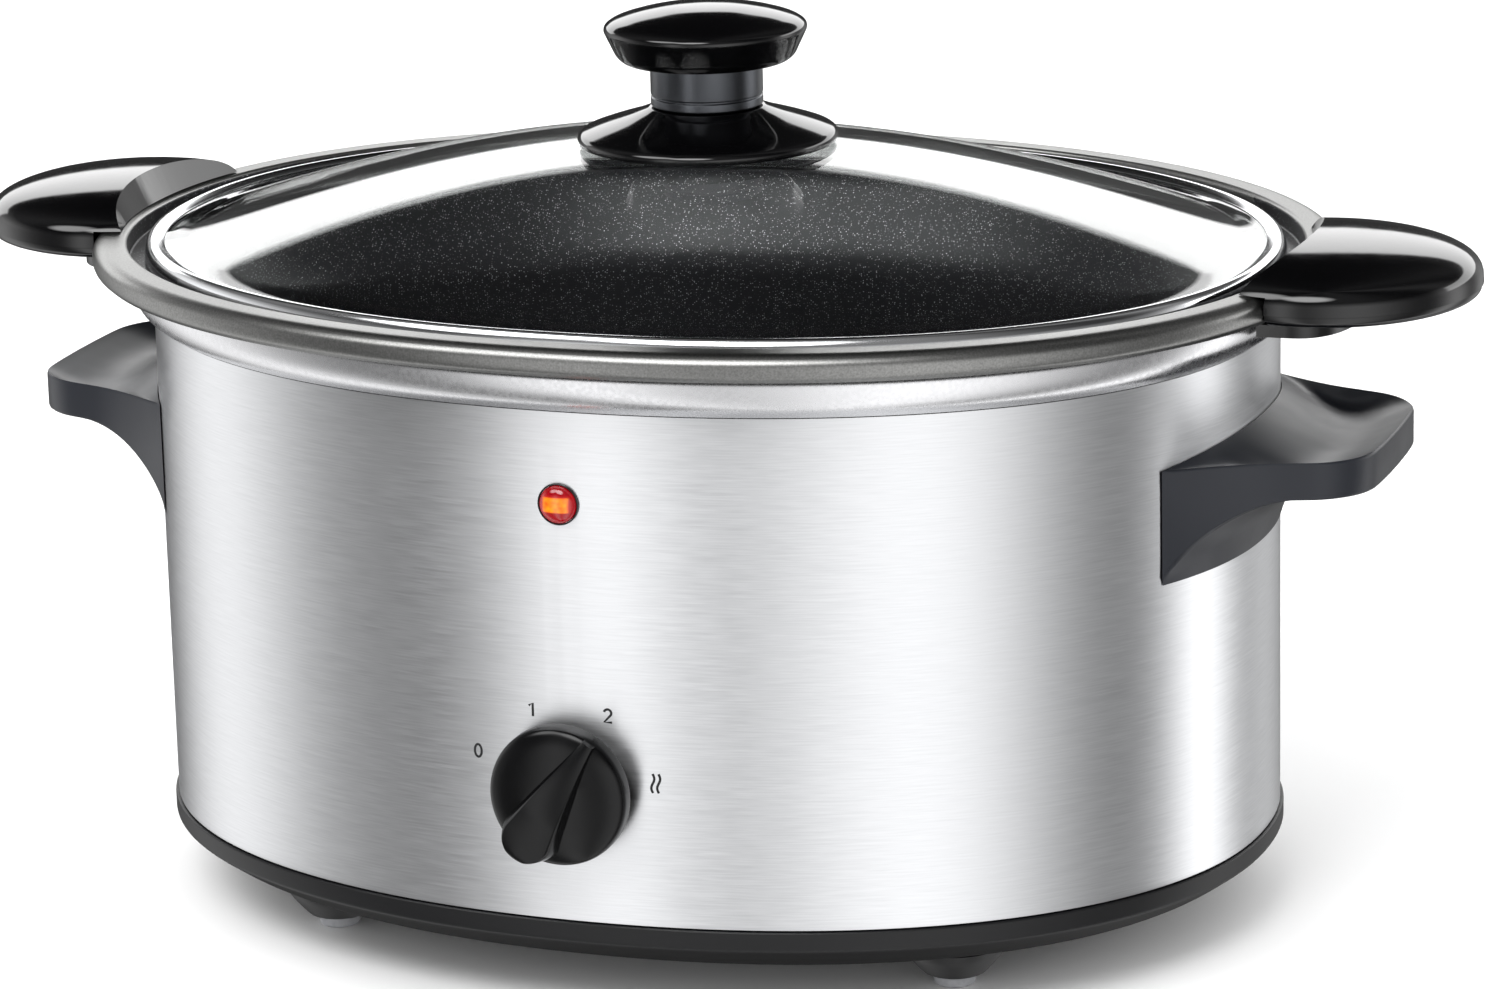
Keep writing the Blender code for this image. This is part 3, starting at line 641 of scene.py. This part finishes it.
combine(control_knob, [skin("grip", grip_rings())], "UNION")
combine(control_knob, [turned("bore", [(0, 0), (3.3, 0), (3.3, 9.8), (0, 9.8)], steps=32)], "DIFFERENCE")
stand = Matrix.Translation(KNOB_PLACE * MM) @ Euler((math.radians(90), POINTER_TURN, 0)).to_matrix().to_4x4()
control_knob.data.transform(stand)
fit(control_knob, "knob", "gloss_black", knob_resin, "control_knob")


# Power light. A red polycarbonate lens pressed through the wall, with the lamp's window behind it.

# Moulded red polycarbonate: deep clear red at the rim, lit orange where the lamp sits behind it.
red_lens, tree, shader, place = material(
    "red_polycarbonate", "#8a0410", Roughness=0.06, Transmission_Weight=0.25, IOR=1.585, Emission_Strength=1.0
)
GLOW_WIDE, GLOW_HIGH = 6.8, 3.9
split = node(tree, "ShaderNodeSeparateXYZ", {"Vector": place})
across = node(
    tree, "ShaderNodeMath", {0: split.outputs["X"], 1: GLOW_WIDE / 2 * MM}, operation="DIVIDE"
)
raised = node(tree, "ShaderNodeMath", {0: split.outputs["Z"], 1: (LAMP_Z + 0.3) * MM}, operation="SUBTRACT")
raised = node(tree, "ShaderNodeMath", {0: raised.outputs[0], 1: GLOW_HIGH / 2 * MM}, operation="DIVIDE")
window = []
for side in (across, raised):
    size = node(tree, "ShaderNodeMath", {0: side.outputs[0]}, operation="ABSOLUTE")
    soft = node(
        tree,
        "ShaderNodeMapRange",
        {"Value": size.outputs[0], "From Min": 0.8, "From Max": 1.1, "To Min": 1.0, "To Max": 0.0},
        interpolation_type="SMOOTHSTEP",
    )
    window.append(soft.outputs["Result"])
lit = node(tree, "ShaderNodeMath", {0: window[0], 1: window[1]}, operation="MULTIPLY")
FLICKER = 1.6
flicker = node(tree, "ShaderNodeTexNoise", {"Vector": place, "Scale": 1 / (FLICKER * MM), "Detail": 1.0})
warm = node(
    tree,
    "ShaderNodeMix",
    {"Factor": flicker.outputs["Fac"], "A": linear("#ff3c00"), "B": linear("#ffc400")},
    data_type="RGBA",
)
glow = node(
    tree,
    "ShaderNodeMix",
    {"Factor": lit.outputs[0], "A": linear("#5a0006"), "B": warm.outputs["Result"]},
    data_type="RGBA",
)
tree.links.new(glow.outputs["Result"], shader.inputs["Emission Color"])

lens_outline = eased(
    [
        (0, 3.0),
        (2.6, 2.7, 1.6),
        (4.3, 1.7, 1.2),
        (4.9, 0.5, 0.4),
        (4.5, 0.3),
        (4.5, -5.0),
        (3.5, -5.0),
        (3.5, 0.4),
        (0, 1.2),
    ]
)
lamp_place = (0, -WALL_SHORT, LAMP_Z)
lens = turned("power_light_lens", lens_outline, lamp_place, FRONT, steps=64)
fit(lens, "cooker_body", "red_lens", red_lens, "indicator_lens")
bezel_outline = eased([(4.95, 0.1), (5.35, 0.1), (5.35, 0.7, 0.2), (4.95, 0.7, 0.2)], closed=True)
bezel = turned("power_light_bezel", bezel_outline, lamp_place, FRONT, closed=True, steps=64)
fit(bezel, "cooker_body", "gloss_black", gloss_resin)


# Cord gland. A black nylon bush through the back of the wall, clamped from inside by its nut.

gland_line = [(3.6, 12.0), (5.4, 12.0, 0.8), (6.4, 3.6, 1.5), (10.0, 3.2, 0.6), (10.4, 0.6, 0.3), (7.4, 0.6)]
gland_outline = eased(gland_line + [(7.4, -9.0), (3.6, -9.0)], closed=True)
gland = turned("cord_bush", gland_outline, (0, WALL_SHORT, GLAND_Z), REAR, closed=True)
fit(gland, "cooker_body", "satin_black", moulded_black, "cord_gland")


# Pot. Cast aluminium with a rolled lip that rests on the liner. The bowl is sprayed with dark
# non-stick enamel, full of bright flecks, and the lip keeps the grey, shot-blasted metal.

LEDGE_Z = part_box("pot_shell")[1].z / MM
LIP = 15.5
POT_WALL = 2.0
SEAT = 6.2
ENAMEL_EDGE = 1.045  # how much larger than the wall's oval the sprayed area is

# Shot-blasted aluminium under clear lacquer: mid grey, speckled, with glints along its curve.
# Blasting leaves pits under 0.1 mm, so they are drawn 0.5 mm wide to show.
blasted_aluminium, tree, shader, place = material(
    "shot_blasted_aluminium", "#7f7f7e", Metallic=1.0, Roughness=0.32
)
PIT = 0.5
pits = node(
    tree, "ShaderNodeTexNoise", {"Vector": place, "Scale": 1 / (PIT * MM), "Detail": 4.0, "Roughness": 0.6}
)
greys = node(
    tree,
    "ShaderNodeMix",
    {"Factor": pits.outputs["Fac"], "A": linear("#585857"), "B": linear("#a5a5a3")},
    data_type="RGBA",
)
tree.links.new(greys.outputs["Result"], shader.inputs["Base Color"])
relief = node(tree, "ShaderNodeBump", {"Height": pits.outputs["Fac"], "Strength": 0.2, "Distance": 0.03 * MM})
tree.links.new(relief.outputs["Normal"], shader.inputs["Normal"])

# Sprayed non-stick enamel: charcoal, satin, with pale metal flecks about 0.6 mm apart.
flecked_enamel, tree, shader, place = material(
    "flecked_nonstick_enamel", "#1d1d20", Roughness=0.38, Metallic=0.45
)
FLECK = 0.55
flecks = node(tree, "ShaderNodeTexVoronoi", {"Vector": place, "Scale": 1 / (FLECK * MM)})
chance = node(tree, "ShaderNodeSeparateColor", {"Color": flecks.outputs["Color"]})
bright = node(
    tree, "ShaderNodeMapRange", {"Value": chance.outputs["Red"], "From Min": 0.5, "From Max": 1.0}
)
dot = node(
    tree,
    "ShaderNodeMapRange",
    {"Value": flecks.outputs["Distance"], "From Min": 0.1, "From Max": 0.35, "To Min": 1.0, "To Max": 0.0},
)
sparkle = node(
    tree, "ShaderNodeMath", {0: bright.outputs["Result"], 1: dot.outputs["Result"]}, operation="MULTIPLY"
)
enamel = node(
    tree,
    "ShaderNodeMix",
    {"Factor": sparkle.outputs[0], "A": linear("#1f1f22"), "B": linear("#d4d6da")},
    data_type="RGBA",
)
tree.links.new(enamel.outputs["Result"], shader.inputs["Base Color"])

pot_line = eased(
    [
        (13.8, 169.9),
        (LIP, 171.4, 1.3),
        (LIP, 174.8, 1.6),
        (13.2, LEDGE_Z, 1.6),
        (6.9, LEDGE_Z, 0.5),
        (SEAT, 176.2, 0.5),
        (SEAT, 171.6, 0.8),
        (-6.6, 171.6, 3.0),
        (-9.6, 168.6, 3.0),
        (-21.6, 151.2, 6.0),
        (-23.6, 146.0, 5.0),
        (-26.0, 70.0, 12.0),
        (-28.2, 63.4, 6.0),
        (-34.0, 58.3, 7.0),
        (-41.0, 57.2),
    ]
)
pot = oval_piece("cast_pot", sheet(pot_line[::-1], -POT_WALL))
fit(pot, "cooking_pot", "nonstick_aluminium", blasted_aluminium, "pot_shell")
pot.data.materials.append(flecked_enamel)
for face in pot.data.polygons:
    middle = face.center / MM
    share_x, share_y = abs(middle.x / WALL_LONG) ** WALL_POWER, abs(middle.y / WALL_SHORT) ** WALL_POWER
    share_of_oval = (share_x + share_y) ** (1 / WALL_POWER)
    if face.normal.z > -0.2 and share_of_oval < ENAMEL_EDGE and middle.z < LEDGE_Z - 0.6:
        face.material_index = 1


# Pot handles. Each is two gloss black phenolic halves closed on a steel tongue that is welded to the
# lip, and held by two screws from below. The top half reaches over the ledge to the lid.

PARTING_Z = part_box("pot_handle_top_right")[0].z / MM - 0.3
POT_HANDLE_X = 165.0
POT_HANDLE_FULLNESS = 0.62
POT_SCREWS = ((188.0, 12.0), (188.0, -12.0))
SEAM = 0.15


def dome(name, centre, radii):
    """A closed dome whose flanks stand up straighter than an ellipsoid's."""
    rings = []
    for row in range(41):
        tilt = math.pi * row / 40 - math.pi / 2
        rise = math.copysign(abs(math.sin(tilt)) ** POT_HANDLE_FULLNESS, math.sin(tilt))
        ring = []
        for step in range(96):
            angle = math.tau * step / 96
            x, y = math.cos(tilt) * math.cos(angle), math.cos(tilt) * math.sin(angle)
            ring.append(Vector([c + radius * share for c, radius, share in zip(centre, radii, (x, y, rise))]))
        rings.append(ring)
    return skin(name, rings)


def block(name, low, high):
    corners = [(low[0], low[1]), (high[0], low[1]), (high[0], high[1]), (low[0], high[1])]
    return skin(name, [[Vector((x, y, z)) for x, y in corners] for z in (low[2], high[2])])


def plug(name, *levels):
    return skin(name, [oval_ring(offset, z) for offset, z in levels])


def screw_bores(radius, low, high):
    outline = [(0, low), (radius, low), (radius, high), (0, high)]
    return [turned("bore", outline, (x, y, 0), steps=32) for x, y in POT_SCREWS]


pot_top = dome("pot_handle_upper_right", (POT_HANDLE_X, 0, PARTING_Z), (40.0, 41.0, 12.2))
cuts = [
    block("below", (100, -60, 140), (220, 60, PARTING_Z + SEAM)),
    plug("lid_side", (8.2, 150), (8.2, LEDGE_Z), (17.6, LEDGE_Z + 20)),
    plug("over_ledge", (LIP + 0.2, 150), (LIP + 0.2, LEDGE_Z + 0.2)),
    block("tongue_pocket", (150, -17.4, 170), (195.4, 17.4, 175.9)),
]
combine(pot_top, cuts + screw_bores(2.3, 170, 180), "DIFFERENCE")

pot_low = dome("pot_handle_lower_right", (POT_HANDLE_X, 0, PARTING_Z), (39.6, 40.6, 5.6))
combine(pot_low, [block("above", (100, -60, PARTING_Z), (220, 60, 200))], "DIFFERENCE")
heel_near = [(140, -26), (166, -26, 5), (172, -20, 5), (175, -10, 6)]
heel_far = [(x, -y, *ease) for x, y, *ease in reversed(heel_near)]
heel_ring = eased(heel_near + heel_far)
heel = skin("heel", [[Vector((p.x, p.y, z)) for p in heel_ring] for z in (163.6, 169.6)])
combine(pot_low, [heel], "UNION")
cuts = [plug("lip", (LIP + 0.2, 169.3), (LIP + 0.2, 180)), plug("shoulder", (6.4, 150), (6.4, 180))]
combine(pot_low, cuts + screw_bores(2.3, 160, 180) + screw_bores(4.2, 160, 169.6), "DIFFERENCE")

for right, node_name in ((pot_top, "pot_handle_top"), (pot_low, "pot_handle_base")):
    left = bpy.data.objects.new(right.name.replace("right", "left"), right.data.copy())
    left.data.transform(Matrix.Rotation(math.pi, 4, "Z"))
    bpy.context.scene.collection.objects.link(left)
    for side, piece in (("right", right), ("left", left)):
        fit(piece, "cooking_pot", "gloss_black", gloss_resin, f"{node_name}_{side}")
for name in ("pot_bracket_right", "pot_bracket_left", *(f"pot_handle_screw_{i}" for i in range(1, 5))):
    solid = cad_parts[name]
    solid.data.materials.clear()
    solid.data.materials.append(zinc_steel)


# Lid. Tempered glass, sagged to a dome over a mould and edged with a rolled steel channel.

GLASS_EDGE_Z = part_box("lid_glass")[0].z / MM + 3.5
GLASS_RISE = 26.0
GLASS_WALL = 3.5
GLASS_INSET = -5.0

# Tempered soda-lime glass: clear and polished, faintly wavy from the mould.
tempered_glass, tree, shader, place = material(
    "tempered_glass", "#fbfdfc", Roughness=0.0, Transmission_Weight=1.0, IOR=1.5
)
SAG = 60.0
sag = node(tree, "ShaderNodeTexNoise", {"Vector": place, "Scale": 1 / (SAG * MM), "Detail": 1.0})
relief = node(tree, "ShaderNodeBump", {"Height": sag.outputs["Fac"], "Strength": 0.05, "Distance": 1.0 * MM})
tree.links.new(relief.outputs["Normal"], shader.inputs["Normal"])

upper = [(0.6, GLASS_EDGE_Z - 0.4, 1.0), (0.2, GLASS_EDGE_Z, 1.0), (GLASS_INSET, GLASS_EDGE_Z + 0.2, 1.0)]
for step in range(1, 37):
    scale = 1 - 0.973 * (step / 36) ** 0.9
    rise = GLASS_RISE * (1 - scale**2) ** 1.15
    upper.append((GLASS_INSET * scale, GLASS_EDGE_Z + 0.2 + rise, scale))
lower = [(offset, z - GLASS_WALL, scale) for offset, z, scale in reversed(upper[1:])]
lower.append((0.6, GLASS_EDGE_Z - GLASS_WALL + 0.4, 1.0))
glass = skin("domed_lid_glass", [oval_ring(*level) for level in upper + lower], closed=True)
fit(glass, "glass_lid", "clear_glass", tempered_glass, "lid_glass")
glass.visible_shadow = False

# Polished stainless steel: a bright mirror, with faint rolling lines round its length.
polished_steel, tree, shader, place = material(
    "polished_stainless_steel", "#dedfe1", Metallic=1.0, Roughness=0.12
)
LINE = 0.4
split = node(tree, "ShaderNodeVectorMath", {0: place, 1: (1.0, 1.0, 1 / (LINE * MM))}, operation="MULTIPLY")
lines = node(tree, "ShaderNodeTexNoise", {"Vector": split.outputs["Vector"], "Scale": 1.0})
uneven = node(
    tree, "ShaderNodeMapRange", {"Value": lines.outputs["Fac"], "To Min": 0.06, "To Max": 0.2}
)
tree.links.new(uneven.outputs["Result"], shader.inputs["Roughness"])

channel = eased(
    [
        (1.7, 172.2, 0.3),
        (1.7, 174.9, 1.4),
        (0.7, 177.0, 1.2),
        (-0.6, 177.6, 0.9),
        (-2.4, 177.1, 0.8),
        (-3.6, 176.5, 0.2),
        (-3.2, 176.3),
        (0.9, 176.3),
        (0.9, 172.4),
        (-3.8, 172.4),
        (-3.8, 172.0),
        (1.2, 171.9, 0.3),
    ],
    closed=True,
)
lid_rim = oval_piece("lid_edge_channel", channel, closed=True)
fit(lid_rim, "glass_lid", "polished_steel", polished_steel, "lid_rim")


# Lid knob. A gloss black flange sits on the glass, a grey metal collar stands on it, and the black
# top screws down through both onto a rubber washer under the glass.

flange_line = [
    (2.5, 210.6),
    (15.0, 210.6, 0.3),
    (16.4, 209.9, 1.0),
    (20.5, 208.3, 2.5),
    (28.0, 206.0, 4.0),
    (33.4, 204.0, 0.9),
    (34.2, 202.9, 0.6),
    (33.9, 201.5, 0.3),
    (32.8, 201.5),
    (18.0, 203.0),
    (2.5, 203.0),
]
flange = turned("lid_knob_flange", eased(flange_line, closed=True), closed=True, steps=128)
fit(flange, "glass_lid", "gloss_black", gloss_resin, "lid_flange")

# Turned aluminium, anodised dark grey: fine lathe lines and a vertical sheen.
anodised_grey, tree, shader, place = material(
    "grey_anodised_aluminium",
    "#55575b",
    Metallic=1.0,
    Roughness=0.3,
    Anisotropic=0.6,
    Anisotropic_Rotation=0.25,
)
LATHE = 0.4
fine = node(tree, "ShaderNodeVectorMath", {0: place, 1: (1.0, 1.0, 1 / (LATHE * MM))}, operation="MULTIPLY")
lathe = node(tree, "ShaderNodeTexNoise", {"Vector": fine.outputs["Vector"], "Scale": 1.0, "Detail": 3.0})
relief = node(
    tree, "ShaderNodeBump", {"Height": lathe.outputs["Fac"], "Strength": 0.1, "Distance": 0.03 * MM}
)
tree.links.new(relief.outputs["Normal"], shader.inputs["Normal"])
around = node(tree, "ShaderNodeTangent", direction_type="RADIAL", axis="Z")
tree.links.new(around.outputs["Tangent"], shader.inputs["Tangent"])

stem_line = [
    (2.5, 210.9),
    (14.2, 210.9, 0.3),
    (14.7, 211.3, 0.3),
    (14.7, 213.3, 0.2),
    (14.3, 213.5, 0.1),
    (14.3, 213.9, 0.1),
    (14.7, 214.1, 0.2),
    (14.7, 222.6),
    (2.5, 222.6),
]
stem = turned("lid_knob_collar", eased(stem_line, closed=True), closed=True, steps=128)
fit(stem, "glass_lid", "dark_steel", anodised_grey, "lid_stem")

top_line = [
    (0, 237.4),
    (9, 237.0, 4.0),
    (18, 235.4, 4.0),
    (24.4, 233.4, 2.0),
    (26.3, 232.1, 0.7),
    (26.6, 231.0, 0.5),
    (25.8, 229.2, 1.2),
    (23.4, 224.2, 0.9),
    (21.8, 222.9, 0.5),
    (2.5, 222.9),
    (2.5, 229.5),
    (0, 229.5),
]
lid_top = turned("lid_knob_top", eased(top_line), steps=128)
fit(lid_top, "glass_lid", "gloss_black", gloss_resin, "lid_knob")
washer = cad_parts["lid_washer"]
washer.data.materials.clear()
washer.data.materials.append(grey_rubber)


# The studio. A pale floor stands in an even white room, and the shiny parts pick out its lights: tall
# ones round the sides, two round ones above the front, and a low band behind.

pale_floor, tree, shader, place = material("pale_painted_floor", "#fbfbfb", Roughness=0.9)
shader.inputs["Specular IOR Level"].default_value = 0.1
FLOOR_REACH = 9000
FLOOR_Z = -0.2
corners = [(-1, -1), (1, -1), (1, 1), (-1, 1)]
corners = [Vector((x * FLOOR_REACH, y * FLOOR_REACH, FLOOR_Z)) * MM for x, y in corners]
floor_mesh = bpy.data.meshes.new("floor")
floor_mesh.from_pydata(corners, [], [(0, 1, 2, 3)])
floor = bpy.data.objects.new("floor", floor_mesh)
floor.data.materials.append(pale_floor)
floor.visible_glossy = False
bpy.context.scene.collection.objects.link(floor)

# Each upright light: its bearing from the front in degrees, how wide it spreads, and its brightness.
UPRIGHT_LIGHTS = ((-96, 20, 1.15), (-18, 8, 1.4), (36, 23, 1.4), (122, 11, 1.8), (162, 12, 0.6))
ROOM_GLOW = 0.2
BACK_LIGHT_LOW, BACK_LIGHT_HIGH = 9, 24
BACK_LIGHT = 2.7
EDGE_BLUR = 0.01
# Each round light from above: its bearing, its height in degrees, and its brightness.
SOFT_LIGHTS = ((-2, 52, 8.0), (-46, 50, 6.0))
PLAIN_ROOM = 1.2

room = bpy.data.worlds.new("studio")
room.use_nodes = True
bpy.context.scene.world = room
tree = room.node_tree
way = tree.nodes.new("ShaderNodeTexCoord").outputs["Generated"]
split = node(tree, "ShaderNodeSeparateXYZ", {"Vector": way})
level = node(tree, "ShaderNodeCombineXYZ", {"X": split.outputs["X"], "Y": split.outputs["Y"]})
level = node(tree, "ShaderNodeVectorMath", {0: level.outputs["Vector"]}, operation="NORMALIZE")
rear_fade = node(
    tree,
    "ShaderNodeMapRange",
    {"Value": split.outputs["Y"], "From Min": 0.1, "From Max": 0.6, "To Min": ROOM_GLOW, "To Max": 0.04},
)
total = rear_fade.outputs["Result"]
for bearing, wide, brightness in UPRIGHT_LIGHTS:
    turn = math.radians(bearing)
    toward = (math.sin(turn), -math.cos(turn), 0)
    facing = node(
        tree, "ShaderNodeVectorMath", {0: level.outputs["Vector"], 1: toward}, operation="DOT_PRODUCT"
    )
    ahead = node(tree, "ShaderNodeMath", {0: facing.outputs["Value"], 1: 0.0}, operation="MAXIMUM")
    lobe = node(tree, "ShaderNodeMath", {0: ahead.outputs[0], 1: math.radians(wide) ** -2}, operation="POWER")
    lobe = node(
        tree, "ShaderNodeMath", {0: lobe.outputs[0], 1: brightness, 2: total}, operation="MULTIPLY_ADD"
    )
    total = lobe.outputs[0]
overhead = node(
    tree,
    "ShaderNodeMapRange",
    {"Value": split.outputs["Z"], "From Min": 0.2, "From Max": 0.5, "To Min": 1.0, "To Max": 0.15},
)
dimmed = node(tree, "ShaderNodeMath", {0: total, 1: overhead.outputs["Result"]}, operation="MULTIPLY")
total = dimmed.outputs[0]
for bearing, height, brightness in SOFT_LIGHTS:
    turn, rise = math.radians(bearing), math.radians(height)
    toward = (math.sin(turn) * math.cos(rise), -math.cos(turn) * math.cos(rise), math.sin(rise))
    facing = node(tree, "ShaderNodeVectorMath", {0: way, 1: toward}, operation="DOT_PRODUCT")
    spot = node(
        tree, "ShaderNodeMapRange", {"Value": facing.outputs["Value"], "From Min": 0.955, "From Max": 0.985}
    )
    added = node(
        tree, "ShaderNodeMath", {0: spot.outputs["Result"], 1: brightness, 2: total}, operation="MULTIPLY_ADD"
    )
    total = added.outputs[0]
low, high = (math.sin(math.radians(a)) for a in (BACK_LIGHT_LOW, BACK_LIGHT_HIGH))
bottom = node(
    tree,
    "ShaderNodeMapRange",
    {"Value": split.outputs["Z"], "From Min": low - EDGE_BLUR, "From Max": low + EDGE_BLUR},
)
top = node(
    tree,
    "ShaderNodeMapRange",
    {
        "Value": split.outputs["Z"],
        "From Min": high - EDGE_BLUR,
        "From Max": high + EDGE_BLUR,
        "To Min": 1.0,
        "To Max": 0.0,
    },
)
behind = node(
    tree, "ShaderNodeMapRange", {"Value": split.outputs["Y"], "From Min": 0.4, "From Max": 0.46}
)
band = node(
    tree, "ShaderNodeMath", {0: bottom.outputs["Result"], 1: top.outputs["Result"]}, operation="MULTIPLY"
)
band = node(tree, "ShaderNodeMath", {0: band.outputs[0], 1: behind.outputs["Result"]}, operation="MULTIPLY")
shine = node(tree, "ShaderNodeMath", {0: band.outputs[0], 1: BACK_LIGHT, 2: total}, operation="MULTIPLY_ADD")
path = tree.nodes.new("ShaderNodeLightPath")
plain = node(
    tree,
    "ShaderNodeMath",
    {0: path.outputs["Is Camera Ray"], 1: path.outputs["Is Diffuse Ray"]},
    operation="MAXIMUM",
)
amount = node(tree, "ShaderNodeMix", {"Factor": plain.outputs[0], "A": shine.outputs[0], "B": PLAIN_ROOM})
lamp = tree.nodes["Background"]
lamp.inputs["Color"].default_value = linear("#ffffff")
tree.links.new(amount.outputs["Result"], lamp.inputs["Strength"])

camera = bpy.data.objects.new("camera", bpy.data.cameras.new("camera"))
camera.data.lens = 138.73
camera.data.clip_end = 50
azimuth, elevation, roll = (math.radians(a) for a in (19.38, 15.54, -1.391))
AIM = Vector((11.0, 3.9, 104.8))
DISTANCE = 1535.5
back = Vector((math.sin(azimuth), -math.cos(azimuth), 0)) * math.cos(elevation)
back.z = math.sin(elevation)
leftward = Vector((-math.cos(azimuth), -math.sin(azimuth), 0)) * 3
camera.location = (AIM + back * DISTANCE + leftward) * MM
camera.rotation_mode = "QUATERNION"
camera.rotation_quaternion = back.to_track_quat("Z", "Y") @ Quaternion((0, 0, 1), roll)
bpy.context.scene.collection.objects.link(camera)
bpy.context.scene.camera = camera
bpy.context.scene.view_settings.view_transform = "Standard"
